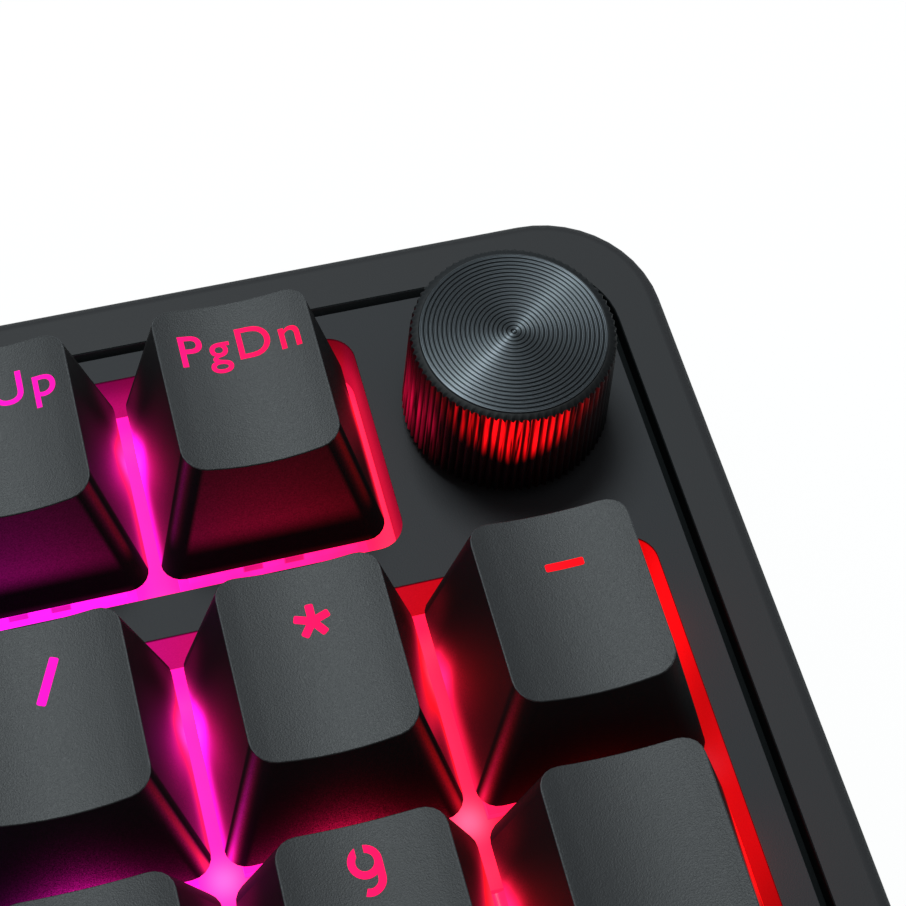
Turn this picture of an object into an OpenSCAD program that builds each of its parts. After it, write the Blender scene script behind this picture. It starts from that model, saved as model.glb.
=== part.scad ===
// A full-size keyboard with a number pad, a magnetic switch under every key,
// a lit plate in sunken wells, a ribbed volume knob and fold-out tilt feet.
// Millimetres. X runs to the right, Y to the back, Z up. The rubber feet stand on Z = 0.

/* [Layout] */
// Distance between the centres of neighbouring keys
key_pitch = 19.05; // [18.8:0.05:19.6]
// Extra distance between the function row and the number row
function_row_gap = 4.95; // [4:0.05:7]
// Width of the case beyond the outermost key cells
case_border = 8.95; // [8.7:0.05:14]
// How far a well reaches past the key cells at its sides and back
well_margin = 0.85; // [0.75:0.05:1]
// How far a well reaches past the key cells at its front
well_front_margin = 0.5; // [0.4:0.05:0.8]
// Corner radius of the wells
well_corner = 2.3; // [1:0.1:4]

/* [Case] */
// Corner radius of the case seen from above
case_corner = 10; // [8:0.5:14]
// Width of the outer frame seen from above
frame_width = 4.4; // [4.2:0.1:4.6]
// Corner radius inside the outer frame
frame_inner_corner = 6.8; // [6:0.1:8]
// Width of the groove between the frame and the deck
groove_width = 1; // [0.6:0.1:1.2]
// Depth of that groove
groove_depth = 1.8; // [1.2:0.1:2.4]
// How much wider the frame is along the back
back_frame_extra = 0.6; // [0:0.1:0.8]
// How much narrower the groove is along the back
back_groove_cut = 0.25; // [0:0.05:0.3]
// Radius of the frame's top outer edge
edge_round = 1.3; // [0.5:0.1:2]
// Height of the deck over the switch plate
deck_height = 6; // [5.4:0.1:7]
// Thickness of the outer walls
wall = 3; // [2.8:0.1:3.1]
// Thickness of the case floor
floor_thickness = 2.2; // [2:0.1:2.6]
// Free height between the floor and the circuit board
board_space = 3; // [2.9:0.1:4]

/* [Boards] */
// Thickness of the circuit board
board_thickness = 1.6; // [1.2:0.1:2]
// Thickness of the steel switch plate
plate_thickness = 1.5; // [1.2:0.1:1.6]
// Thickness of the foam sheet on the case floor
case_foam_thickness = 2; // [1:0.1:2]

/* [Switches] */
// Depth of a switch housing below the top of the plate
housing_depth = 5; // [5:0.1:5.6]
// Height of a switch housing over the plate
housing_top = 6.6; // [6.4:0.1:7]
// How far a key can be pressed
key_travel = 4; // [3:0.1:4]
// Length of the magnet in a stem
magnet_length = 1.8; // [1.2:0.1:1.9]

/* [Keycaps] */
// Gap between neighbouring caps at their base
cap_gap = 0.97; // [0.8:0.01:1.3]
// Height of the caps' lower edge over the plate
cap_base = 5.96; // [5.96:0.02:6.4]
// Height of a home row cap
cap_height = 8.75; // [8.5:0.05:10]
// How far the side faces lean in
side_lean = 2.96; // [2:0.02:3.2]
// Thickness of a cap's walls
cap_wall = 1.4; // [1:0.05:1.5]
// Depth of the dish in a cap's top
dish_depth = 0.9; // [0.4:0.05:1.1]

/* [Volume knob] */
// Radius of the knob over its ribs
knob_radius = 8.49; // [8:0.01:9.2]
// Radius of the disc in the knob's top
disc_radius = 7.45; // [6:0.05:7.5]
// Height of the knob over the deck
knob_height = 11.3; // [10.8:0.1:14]
// How far the knob can be pushed down
knob_press = 0.5; // [0.3:0.1:0.6]
// Number of ribs round the knob
rib_count = 78; // [60:1:84]
// Knob centre to the right of its key cell
knob_shift_x = 2.15; // [1:0.05:2.3]
// Knob centre behind its key cell
knob_shift_y = 0.4; // [-0.5:0.05:0.5]

/* [Feet and socket] */
// Height of the rubber feet below the case
foot_height = 1.2; // [1:0.1:2]
// Length of a tilt foot from its pin to its tip
tilt_foot_length = 14; // [10:0.5:16]
// Width of a tilt foot
tilt_foot_width = 26; // [20:1:32]
// Distance of the data socket to the left of the middle
socket_offset = 60; // [40:1:70]

/* [Hidden] */
$fn = 48;
over = 0.5;

// Overall size, from the key grid
columns = 19;
rows = 6;
body_w = columns * key_pitch + 2 * case_border;
body_d = rows * key_pitch + function_row_gap + 2 * case_border;

// Heights of the layers
z_case = foot_height;
z_floor = z_case + floor_thickness;
z_board = z_floor + board_space;
z_board_top = z_board + board_thickness;
z_plate_top = z_board_top + housing_depth;
z_plate = z_plate_top - plate_thickness;
z_deck = z_plate_top + deck_height;
z_ledge = z_deck - groove_depth;
ledge_thickness = 2.2;
z_parting = z_floor + 1.6;
z_cap = z_plate_top + cap_base;
z_knob = z_deck + knob_height;

// Clearances
plate_fit = 0.05;
slide_fit = 0.2;
wing_fit = 0.3;
post_fit = 0.05;
shaft_fit = 0.05;
seat_fit = 0.15;
lip_fit = 0.1;
socket_fit = 0.3;

// Key grid: a key is [left edge, width, row, depth] in key units, row 0 being the function row
grid_left = -columns * key_pitch / 2;
back_row_y = body_d / 2 - case_border - key_pitch / 2;
function key_x(k) = grid_left + (k[0] + k[1] / 2) * key_pitch;
function row_y(r) = r == 0 ? back_row_y : back_row_y - function_row_gap - r * key_pitch;
function key_deep(k) = len(k) > 3 ? k[3] : 1;

page_up = [16, 1, 0];
page_down = [17, 1, 0];
divide = [16, 1, 1];
multiply = [17, 1, 1];
minus = [18, 1, 1];
eight = [16, 1, 2];
nine = [17, 1, 2];
plus = [18, 1, 2.5, 2];
backspace = [13, 2, 1];
enter = [13.75, 1.25, 2.5, 2];
enter_wide = 1.5;
space_bar = [3.75, 6.25, 5];
numpad_enter = [18, 1, 4.5, 2];

function_row = concat(
    [[0, 1, 0]],
    [for (block = [0:2], i = [0:3]) [1.25 + block * 4.25 + i, 1, 0]],
    [for (i = [14:15]) [i, 1, 0]]
);
number_row = concat([for (i = [0:12]) [i, 1, 1]], [[15, 1, 1]]);
upper_letters = concat([[0, 1.5, 2]], [for (i = [0:11]) [1.5 + i, 1, 2]]);
home_row = concat([[0, 1.75, 3]], [for (i = [0:11]) [1.75 + i, 1, 3]]);
lower_letters = concat([for (i = [0:1]) [1.25 * i, i == 0 ? 1.25 : 1, 4]],
    [for (i = [2:11]) [0.25 + i, 1, 4]], [[12.25, 1.75, 4], [14, 1, 4]]);
bottom_row = concat([for (i = [0:2]) [1.25 * i, 1.25, 5]], [for (i = [10:15]) [i, 1, 5]]);
numpad = concat([[15, 1, 2]], [for (r = [3:4], i = [15:17]) [i, 1, r]], [for (i = [16:17]) [i, 1, 5]]);
single_keys = [page_up, page_down, divide, multiply, minus, eight, nine];
wide_keys = [backspace, enter, space_bar, plus, numpad_enter];
all_keys = concat(function_row, number_row, upper_letters, home_row, lower_letters, bottom_row, numpad,
    single_keys, wide_keys);

// Left and right column line of each well in the function row
function_wells = concat(
    [[0, 1]],
    [for (block = [0:2]) [1.25 + block * 4.25, 5.25 + block * 4.25]],
    [[14, 18]]
);

// Cap shape by row, from the number row down to the bottom row
cap_edge = (key_pitch - cap_gap) / 2;
function rear_height(r) = cap_height
    + lookup(r, [[1, 2.49], [2, 0.69], [2.5, 0.75], [3, 0.15], [4, -0.35], [5, 0.05]]);
function front_height(r) = cap_height
    + lookup(r, [[1, 2.39], [2, 0.25], [3, -0.15], [4, 0.85], [5, 1.25]]);
function rear_lean(r) = lookup(r, [[1, 0.34], [2, 0.84], [2.5, 0.25], [3, 1.5], [4, 2.2], [5, 2.4]]);
function front_lean(r) = lookup(r, [[1, 3.24], [3, 2.9], [5, 2.1]]);
cap_roof = 1.5 + dish_depth;
corner_cut = 0.75;
post_radius = 2.75;
cross_height = 3.6;
cross_length = 4;
cross_thin = 1.15;
cross_thick = 1.3;

// Switch parts, measured from the top of the plate
housing_size = 13.9;
flange_size = 15.6;
flange_thickness = 1;
top_base = 14;
top_crown = 10.6;
slider_x = 7;
slider_y = 5.5;
wing_x = 8.8;
wing_y = 3;
wing_height = 0.9;
recess_x = 5.4;
recess_y = 4.6;
recess_roof = 3;
pole_size = 2.3;
pole_bottom = recess_roof - magnet_length - 0.3;
magnet_size = 1.7;
well_floor = -key_travel - 0.3;
pedestal_top = pole_bottom - key_travel - 0.2;
spring_outer = 2.1;
spring_inner = 1.8;
sensor_x = 3;
sensor_y = 1.6;
sensor_height = 0.9;
pocket_size = 3.4;
pocket_height = 1.05;
led_x = 3.2;
led_y = 1.4;
led_height = 1;
led_offset = 5;

// Stabilisers under the wide keys
guide_gap = 0.288;
guide_block_x = 6.5;
guide_block_y = 12.4;
guide_flange_x = guide_block_x + 1.2;
short_reach = (flange_size + guide_flange_x) / 2 + guide_gap;
long_reach = 50;
bar_radius = 0.75;
wire_gap = 0.18 * (key_pitch - flange_size - 2 * bar_radius);
bar_y = flange_size / 2 + bar_radius + wire_gap;
bar_z = 1;
arm_end_y = 1.9;
arm_length = bar_y - arm_end_y;
arm_angle = asin(key_travel / 2 / arm_length);
guide_x = 4.4;
guide_y = 5.8;
guide_bottom = 0.3;
guide_block_top = 2.2;
clip_x = 2.2;
clip_width = 1.6;
clip_end = bar_y + bar_radius + 0.55;
guide_hole_y = clip_end + guide_block_y / 2;
slot_half = 1.2;

// Frame, ledge and screws
ledge_reach = frame_width + groove_width + 1.2;
cover_inset = ledge_reach + 0.2;
sheet_inset = wall + 0.4;
lip_width = 1.2;
screw_inset = frame_width + 0.6;
screw_radius = 1;
screw_head = 1.9;
post_outer = screw_inset - wall - lip_fit;
boss_radius = 2;
screw_end_inset = 18;
screw_x = (body_w / 2 - screw_end_inset) / 2;
screw_points = concat(
    [for (i = [-2:2], side = [-1, 1]) [i * screw_x, side * (body_d / 2 - screw_inset)]],
    [for (side = [-1, 1]) [side * (body_w / 2 - screw_inset), 0]]
);

// Knob and encoder
knob_key = [18, 1, 0];
knob_x = key_x(knob_key) + knob_shift_x;
knob_y = row_y(0) + knob_shift_y;
knob_lift = knob_press + 0.3;
z_knob_base = z_deck + knob_lift;
encoder_x = 12.5;
encoder_y = 13;
encoder_height = housing_depth + 1.5;
z_encoder_top = z_board_top + encoder_height;
bushing_radius = 3.5;
bushing_over_deck = 0.6;
z_bushing = z_deck + bushing_over_deck;
shaft_radius = 3;
rotor_radius = 5;
square_size = 3.2;
z_chamber = z_board_top + 0.8;
z_rotor = z_chamber + 1.8;
rotor_thickness = 2.2;
z_shaft_shoulder = z_rotor + rotor_thickness + knob_press + 0.2;
disc_thickness = 0.8;
disc_proud = 0.1;
knob_wall = 1.3;
knob_roof = 1.6;
z_knob_rim = z_knob - disc_proud;
z_disc = z_knob - disc_thickness;
z_knob_hollow = z_disc - knob_roof;
knob_hub = 4.6;
z_hub = z_bushing + knob_press + 0.2;
rib_depth = 0.4;
rib_width = PI * knob_radius / rib_count;
flat_offset = 1.4;

// Socket, feet and chips
socket_w = 9;
socket_h = 3.2;
socket_length = 7.3;
socket_setback = 1.6;
socket_z = z_board_top + socket_h / 2;
pad_x = 30;
pad_y = 8;
pad_depth = 0.8;
pad_inset = 11.6;
pad_points = concat(
    [for (i = [-1:1]) [i * body_w * 0.39, pad_inset - body_d / 2]],
    [for (side = [-1, 1]) [side * body_w * 0.25, body_d / 2 - pad_inset]]
);
tilt_x = body_w * 0.37;
tilt_setback = 16;
tilt_y = body_d / 2 - tilt_setback;
tilt_thickness = 3;
tilt_z = z_case + 0.4 + tilt_thickness / 2;
tilt_pin = 1.1;
tilt_pin_length = 2;
tilt_side = 3.2;
tilt_roof = 1;
z_tilt_ceiling = tilt_z + tilt_thickness / 2 + 0.2;
tilt_back = 2.1;
tilt_finger = 3;
chip_height = 0.8;
chip_size = 7;

module block(w, d, z0, z1) {
    translate([-w / 2, -d / 2, z0])
        cube([w, d, z1 - z0]);
}

module rounded_slab(w, d, r, z0, z1) {
    block(w - 2 * r, d, z0, z1);
    block(w, d - 2 * r, z0, z1);
    for (sx = [-1, 1], sy = [-1, 1]) {
        translate([sx * (w / 2 - r), sy * (d / 2 - r), z0])
            cylinder(r = r, h = z1 - z0, $fn = 96);
    }
}

// A slab with its sides drawn in from the case's outline by inset, and its back side by back more
module inset_slab(inset, r, z0, z1, back = 0) {
    translate([0, -back / 2, 0])
        rounded_slab(body_w - 2 * inset, body_d - 2 * inset - back, r, z0, z1);
}

// Points of a quarter round of radius e that starts at the wall x and ends at the top z
function quarter_round(x, z, e) = [for (a = [0:18:90]) [x - e + e * cos(a), z - e + e * sin(a)]];

// A slab whose top outer edge is rounded by radius e
module eased_slab(w, d, r, z0, z1, e) {
    for (sx = [-1, 1], sy = [-1, 1]) {
        translate([sx * (w / 2 - r), sy * (d / 2 - r), 0])
            rotate_extrude($fn = 96)
                polygon(concat([[0, z0], [r, z0]], quarter_round(r, z1, e), [[0, z1]]));
    }
    rotate([90, 0, 0])
        linear_extrude(height = d - 2 * r, center = true)
            eased_section(w, z0, z1, e);
    rotate([90, 0, 90])
        linear_extrude(height = w - 2 * r, center = true)
            eased_section(d, z0, z1, e);
}

module eased_section(size, z0, z1, e) {
    half = concat([[0, z0], [size / 2, z0]], quarter_round(size / 2, z1, e), [[0, z1]]);
    polygon(half);
    mirror([1, 0])
        polygon(half);
}

module at_key(k) {
    translate([key_x(k), row_y(k[2]), 0])
        children();
}

module at_switches(keys) {
    for (k = keys) {
        at_key(k)
            translate([0, 0, z_plate_top])
                children();
    }
}

module at_screws() {
    for (p = screw_points) {
        translate([p[0], p[1], 0])
            children();
    }
}

// Places its children at both guides of a stabiliser; keys deeper than one unit have it turned
module at_guides(k) {
    reach = k[1] > 3 ? long_reach : short_reach;
    at_key(k)
        translate([0, 0, z_plate_top])
            rotate([0, 0, key_deep(k) > 1 ? 90 : 0])
                for (side = [-1, 1]) {
                    translate([side * reach, 0, 0])
                        children();
                }
}

module bottom_case() {
    color([0.10, 0.10, 0.11])
        difference() {
            union() {
                difference() {
                    rounded_slab(body_w, body_d, case_corner, z_case, z_parting);
                    inset_slab(wall, case_corner - wall, z_floor, z_parting + over);
                }
                difference() {
                    lip_inset = wall + lip_fit;
                    inset_slab(lip_inset, case_corner - lip_inset, z_floor - over, z_board);
                    inset_slab(lip_inset + lip_width, case_corner - lip_inset - lip_width, z_floor,
                        z_board + over);
                }
                at_screws()
                    translate([0, 0, z_floor - over])
                        cylinder(r = post_outer, h = z_board - z_floor + over);
                for (side = [-1, 1]) {
                    translate([side * tilt_x, tilt_y, 0])
                        tilt_pocket_block();
                }
            }
            at_screws() {
                translate([0, 0, z_case - over])
                    cylinder(r = screw_head + 0.2, h = 1.4 + over);
                translate([0, 0, z_case])
                    cylinder(r = screw_radius + 0.1, h = z_board - z_case + over);
            }
            for (p = pad_points) {
                translate([p[0], p[1], 0])
                    rounded_slab(pad_x + 0.4, pad_y + 0.4, 3.2, z_case - over, z_case + pad_depth);
            }
            for (side = [-1, 1]) {
                translate([side * tilt_x, tilt_y, 0])
                    tilt_pocket();
            }
        }
}

module tilt_pocket_block() {
    length = tilt_foot_length + tilt_finger + tilt_back + 3;
    translate([0, -length / 2 + tilt_back + 1.5, 0])
        block(tilt_foot_width + 0.6 + 2 * tilt_side, length, z_case, z_tilt_ceiling + tilt_roof);
}

module tilt_pocket() {
    length = tilt_foot_length + tilt_finger + tilt_back;
    pin_hole_length = tilt_foot_width + 2 * tilt_pin_length + 0.8;
    translate([0, -length / 2 + tilt_back, 0])
        block(tilt_foot_width + 0.6, length, z_case - over, z_tilt_ceiling);
    translate([0, 0, tilt_z])
        rotate([0, 90, 0])
            cylinder(r = tilt_pin + shaft_fit, h = pin_hole_length, center = true);
}

module tilt_foot() {
    rotate([0, 90, 0]) {
        cylinder(r = tilt_thickness / 2, h = tilt_foot_width, center = true);
        cylinder(r = tilt_pin, h = tilt_foot_width + 2 * tilt_pin_length, center = true);
    }
    half = tilt_thickness / 2;
    translate([0, (half - tilt_foot_length) / 2, 0])
        block(tilt_foot_width, tilt_foot_length - half, -half, half);
    translate([0, half - tilt_foot_length, 0])
        rotate([0, 90, 0])
            cylinder(r = tilt_thickness / 2, h = tilt_foot_width, center = true);
}

module left_tilt_foot() {
    color([0.12, 0.12, 0.13])
        translate([-tilt_x, tilt_y, tilt_z])
            tilt_foot();
}

module right_tilt_foot() {
    color([0.12, 0.12, 0.13])
        translate([tilt_x, tilt_y, tilt_z])
            tilt_foot();
}

module case_foam() {
    foam_inset = screw_inset + post_outer + 0.6;
    color([0.20, 0.20, 0.21])
        difference() {
            inset_slab(foam_inset, 3, z_floor, z_floor + case_foam_thickness);
            for (side = [-1, 1]) {
                translate([side * tilt_x, tilt_y - tilt_foot_length / 2, 0])
                    block(tilt_foot_width + 2 * tilt_side + 2, tilt_foot_length + 14, z_floor - over,
                        z_floor + case_foam_thickness + over);
            }
        }
}

module circuit_board() {
    color([0.05, 0.06, 0.06])
        difference() {
            inset_slab(sheet_inset, case_corner - sheet_inset,
                z_board, z_board_top);
            at_screws()
                translate([0, 0, z_board - over])
                    cylinder(r = screw_radius + 0.1, h = board_thickness + 2 * over);
        }
}

module plate_foam() {
    foam_inset = screw_inset + 2.4;
    foam_fit = 0.3;
    color([0.24, 0.24, 0.25])
        difference() {
            inset_slab(foam_inset, 3, z_board_top + 0.1, z_plate - 0.1);
            at_switches(all_keys)
                block(housing_size + 2 * foam_fit, housing_size + 2 * foam_fit, -housing_depth - over, 0);
            guide_holes(foam_fit, -housing_depth - over, 0);
            translate([knob_x, knob_y, 0])
                block(encoder_x + 2 * foam_fit, encoder_y + 2 * foam_fit, z_board, z_plate_top);
            socket_notch(z_board, z_plate_top);
        }
}

// The holes that take the stabilisers' housings, larger by fit on every side
module guide_holes(fit, z0, z1) {
    for (k = wide_keys) {
        at_guides(k)
            translate([0, (clip_end - guide_block_y / 2) / 2, 0])
                block(guide_block_x + 2 * fit, guide_hole_y + 2 * fit, z0, z1);
    }
}

// The space that the foam and the plate leave round the data socket
module socket_notch(z0, z1) {
    translate([-socket_offset, body_d / 2 - socket_setback - socket_length / 2, 0])
        block(socket_w + 2 * socket_fit, socket_length + 2 * socket_fit, z0, z1);
}

module switch_plate() {
    hole = housing_size + 2 * plate_fit;
    color([0.82, 0.82, 0.84])
        difference() {
            inset_slab(sheet_inset, case_corner - sheet_inset,
                z_plate, z_plate_top);
            at_switches(all_keys)
                block(hole, hole, -plate_thickness - over, over);
            guide_holes(2 * plate_fit, -plate_thickness - over, over);
            at_screws()
                translate([0, 0, z_plate - over])
                    cylinder(r = screw_radius + 0.1, h = plate_thickness + 2 * over);
            translate([knob_x, knob_y, 0])
                block(encoder_x + 0.6, encoder_y + 0.6, z_plate - over, z_plate_top + over);
            socket_notch(z_plate - over, z_plate_top + over);
        }
}

module top_frame() {
    color([0.16, 0.165, 0.17])
        difference() {
            union() {
                difference() {
                    eased_slab(body_w, body_d, case_corner, z_parting, z_deck, edge_round);
                    inset_slab(frame_width, frame_inner_corner,
                        z_ledge, z_deck + over, back_frame_extra);
                    rounded_slab(body_w - 2 * ledge_reach, body_d - 2 * ledge_reach,
                        frame_inner_corner + frame_width - ledge_reach, z_ledge - ledge_thickness - over,
                        z_deck);
                    inset_slab(wall, case_corner - wall,
                        z_parting - over, z_ledge - ledge_thickness);
                }
                at_screws()
                    translate([0, 0, z_plate_top])
                        cylinder(r = boss_radius, h = z_ledge - z_plate_top);
            }
            at_screws()
                translate([0, 0, z_plate_top - over])
                    cylinder(r = screw_radius + shaft_fit, h = 3.2 + over);
            translate([-socket_offset, body_d / 2 - wall / 2, 0])
                block(socket_w + 2 * socket_fit, wall + over, socket_z - socket_h / 2 - socket_fit,
                    socket_z + socket_h / 2 + socket_fit);
            translate([-socket_offset, body_d / 2, 0])
                rounded_socket_recess();
        }
}

module rounded_socket_recess() {
    recess_h = 7;
    recess_w = 13;
    translate([0, 0, socket_z])
        rotate([90, 0, 0]) {
            block(recess_w - recess_h, recess_h, -over, 1.2);
            for (sx = [-1, 1]) {
                translate([sx * (recess_w - recess_h) / 2, 0, -over])
                    cylinder(r = recess_h / 2, h = 1.2 + over);
            }
        }
}

// A well cut from the deck, between two column lines and two row centres
module well(left, right, back_row, front_row) {
    x0 = grid_left + left * key_pitch - well_margin;
    x1 = grid_left + right * key_pitch + well_margin;
    y0 = row_y(front_row) - key_pitch / 2 - well_front_margin;
    y1 = row_y(back_row) + key_pitch / 2 + well_margin;
    translate([(x0 + x1) / 2, (y0 + y1) / 2, 0])
        rounded_slab(x1 - x0, y1 - y0, well_corner, z_plate_top - over, z_deck + over);
}

module deck_cover() {
    deck_inset = frame_width + groove_width;
    color([0.21, 0.22, 0.23])
        difference() {
            union() {
                inset_slab(deck_inset, frame_inner_corner - groove_width, z_ledge, z_deck,
                    back_frame_extra - back_groove_cut);
                rounded_slab(body_w - 2 * cover_inset, body_d - 2 * cover_inset,
                    frame_inner_corner + frame_width - cover_inset, z_plate_top, z_deck);
            }
            for (w = function_wells) {
                well(w[0], w[1], 0, 0);
            }
            well(0, columns, 1, 5);
            at_screws()
                translate([0, 0, z_plate_top - over])
                    cylinder(r = boss_radius + seat_fit, h = z_ledge - z_plate_top + over);
            translate([knob_x, knob_y, 0])
                block(encoder_x + 0.6, encoder_y + 0.6, z_plate_top - over, z_encoder_top + 0.3);
            translate([knob_x, knob_y, z_plate_top])
                cylinder(r = bushing_radius + 0.3, h = deck_height + over);
            guide_holes(wing_fit, -over, guide_block_top + wing_fit);
        }
}

module switch_bottom() {
    difference() {
        union() {
            block(housing_size, housing_size, -housing_depth, over);
            block(flange_size, flange_size, 0, flange_thickness);
        }
        difference() {
            block(wing_x + 2 * wing_fit, slider_y + 2 * slide_fit + 0.3, well_floor,
                flange_thickness + over);
            block(recess_x - 2 * slide_fit, recess_y - 2 * slide_fit, well_floor - over, pedestal_top);
        }
        block(pocket_size, pocket_size, -housing_depth - over, -housing_depth + pocket_height);
        translate([0, led_offset + 0.5, 0])
            block(led_x + 0.6, led_y + 2.8, -housing_depth - over, -housing_depth + led_height + 0.8);
    }
}

module switch_bottoms() {
    color([0.14, 0.14, 0.15])
        at_switches(all_keys)
            switch_bottom();
}

module housing_taper() {
    rotate([90, 0, 0])
        linear_extrude(height = top_base, center = true)
            polygon([
                [-top_base / 2, flange_thickness],
                [top_base / 2, flange_thickness],
                [top_crown / 2, housing_top],
                [-top_crown / 2, housing_top]
            ]);
}

module switch_top() {
    difference() {
        intersection() {
            housing_taper();
            rotate([0, 0, 90])
                housing_taper();
        }
        block(slider_x + 2 * slide_fit, slider_y + 2 * slide_fit, 0, housing_top + over);
    }
}

module switch_tops() {
    color([0.80, 0.80, 0.82])
        at_switches(all_keys)
            switch_top();
}

module switch_springs() {
    color([0.75, 0.76, 0.78])
        at_switches(all_keys)
            difference() {
                translate([0, 0, pedestal_top])
                    cylinder(r = spring_outer, h = recess_roof - pedestal_top, $fn = 24);
                translate([0, 0, pedestal_top - over])
                    cylinder(r = spring_inner, h = recess_roof - pedestal_top + 2 * over, $fn = 24);
            }
}

module switch_leds() {
    color([0.95, 0.95, 0.90])
        at_switches(all_keys)
            translate([0, led_offset, 0])
                block(led_x, led_y, -housing_depth, -housing_depth + led_height);
}

module hall_sensors() {
    color([0.06, 0.06, 0.06])
        at_switches(all_keys)
            block(sensor_x, sensor_y, -housing_depth, -housing_depth + sensor_height);
}

module controller_chips() {
    color([0.07, 0.07, 0.08]) {
        translate([-socket_offset, row_y(1), 0])
            block(chip_size, chip_size, z_board - chip_height, z_board);
        for (i = [-3:3]) {
            translate([i * body_w / 8, row_y(3), 0])
                block(chip_size * 0.9, chip_size * 0.6, z_board - chip_height, z_board);
        }
    }
}

module usb_socket() {
    tongue = 0.7;
    color([0.75, 0.76, 0.78])
        translate([-socket_offset, body_d / 2 - socket_setback, socket_z])
            rotate([90, 0, 0])
                difference() {
                    socket_outline(socket_w, socket_h, 0, socket_length);
                    difference() {
                        socket_outline(socket_w - 0.6, socket_h - 0.6, -over, socket_length - 1);
                        block(socket_w - 2.4, tongue, 0.8, socket_length);
                    }
                }
}

module socket_outline(w, h, z0, z1) {
    block(w - h, h, z0, z1);
    for (sx = [-1, 1]) {
        translate([sx * (w - h) / 2, 0, z0])
            cylinder(r = h / 2, h = z1 - z0);
    }
}

module guide_housing() {
    difference() {
        union() {
            block(guide_block_x, guide_block_y, -housing_depth + 0.2, guide_block_top);
            block(guide_flange_x, guide_block_y, 0, 0.8);
            for (side = [-1, 1]) {
                translate([side * clip_x, clip_end / 2, 0])
                    block(clip_width, clip_end, -1.2, bar_z + bar_radius);
            }
        }
        block(guide_x + 2 * slide_fit, guide_y + 2 * slide_fit, -key_travel - 0.1, guide_block_top + over);
        translate([0, guide_block_y / 2, 0])
            block(2.2, guide_block_y, -1.9, guide_block_top + over);
        translate([0, bar_y, bar_z])
            rotate([0, 90, 0])
                cylinder(r = bar_radius + shaft_fit, h = guide_block_x + over, center = true);
        translate([0, bar_y, 0])
            block(guide_block_x + over, 2 * (bar_radius + shaft_fit), bar_z, bar_z + 2);
    }
}

module stabiliser_housings() {
    color([0.12, 0.12, 0.13])
        for (k = wide_keys) {
            at_guides(k)
                guide_housing();
        }
}

module wire(k) {
    reach = k[1] > 3 ? long_reach : short_reach;
    color([0.78, 0.78, 0.80])
        at_key(k)
            translate([0, 0, z_plate_top])
                rotate([0, 0, key_deep(k) > 1 ? 90 : 0])
                    translate([0, bar_y, bar_z]) {
                        rotate([0, 90, 0])
                            cylinder(r = bar_radius, h = 2 * reach + 2 * bar_radius, center = true);
                        for (side = [-1, 1]) {
                            translate([side * reach, 0, 0])
                                rotate([-arm_angle, 0, 0])
                                    translate([0, -arm_length / 2 - 0.2, 0])
                                        block(2 * bar_radius, arm_length + 0.4, -bar_radius, bar_radius);
                        }
                    }
}

module backspace_wire() {
    wire(backspace);
}

module enter_wire() {
    wire(enter);
}

module space_bar_wire() {
    wire(space_bar);
}

module numpad_plus_wire() {
    wire(plus);
}

module numpad_enter_wire() {
    wire(numpad_enter);
}

module plate_standoffs() {
    color([0.80, 0.68, 0.38])
        at_screws()
            difference() {
                translate([0, 0, z_board_top])
                    cylinder(r = 1.8, h = z_plate - z_board_top);
                translate([0, 0, z_board_top - over])
                    cylinder(r = screw_radius + 0.1, h = z_plate - z_board_top + 2 * over);
            }
}

module case_screws() {
    head_bottom = z_case + 0.3;
    head_top = z_case + 1.4;
    color([0.55, 0.56, 0.58])
        at_screws()
            difference() {
                union() {
                    translate([0, 0, head_bottom])
                        cylinder(r = screw_head, h = head_top - head_bottom);
                    translate([0, 0, head_top - over])
                        cylinder(r = screw_radius, h = z_plate_top + 2.8 - head_top + over);
                }
                for (turn = [0, 90]) {
                    rotate([0, 0, turn])
                        block(2.2, 0.5, head_bottom - over, head_bottom + 0.6);
                }
            }
}

module rubber_feet() {
    color([0.05, 0.05, 0.05])
        for (p = pad_points) {
            translate([p[0], p[1], 0])
                rounded_slab(pad_x, pad_y, 3, 0, z_case + pad_depth);
        }
}

module encoder_body() {
    color([0.62, 0.63, 0.65])
        translate([knob_x, knob_y, 0])
            difference() {
                union() {
                    block(encoder_x, encoder_y, z_board_top, z_encoder_top);
                    translate([0, 0, z_encoder_top - over])
                        cylinder(r = bushing_radius, h = z_bushing - z_encoder_top + over);
                }
                translate([0, 0, z_chamber]) {
                    cylinder(r = rotor_radius + 0.3, h = z_rotor + rotor_thickness + 0.3 - z_chamber);
                    cylinder(r = shaft_radius + shaft_fit, h = z_bushing - z_chamber + over);
                }
            }
}

module encoder_rotor() {
    hole = square_size + 2 * shaft_fit;
    color([0.85, 0.85, 0.82])
        translate([knob_x, knob_y, 0])
            difference() {
                translate([0, 0, z_rotor])
                    cylinder(r = rotor_radius, h = rotor_thickness);
                block(hole, hole, z_rotor - over, z_rotor + rotor_thickness + over);
            }
}

module encoder_shaft() {
    z_top = z_knob_hollow - 0.1;
    color([0.72, 0.73, 0.75])
        translate([knob_x, knob_y, 0]) {
            difference() {
                translate([0, 0, z_shaft_shoulder])
                    cylinder(r = shaft_radius, h = z_top - z_shaft_shoulder);
                translate([flat_offset, -shaft_radius - over, z_hub])
                    cube([shaft_radius, 2 * shaft_radius + 2 * over, z_top - z_hub + over]);
            }
            block(square_size, square_size, z_chamber + knob_press + 0.2, z_shaft_shoulder + over);
        }
}

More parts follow.
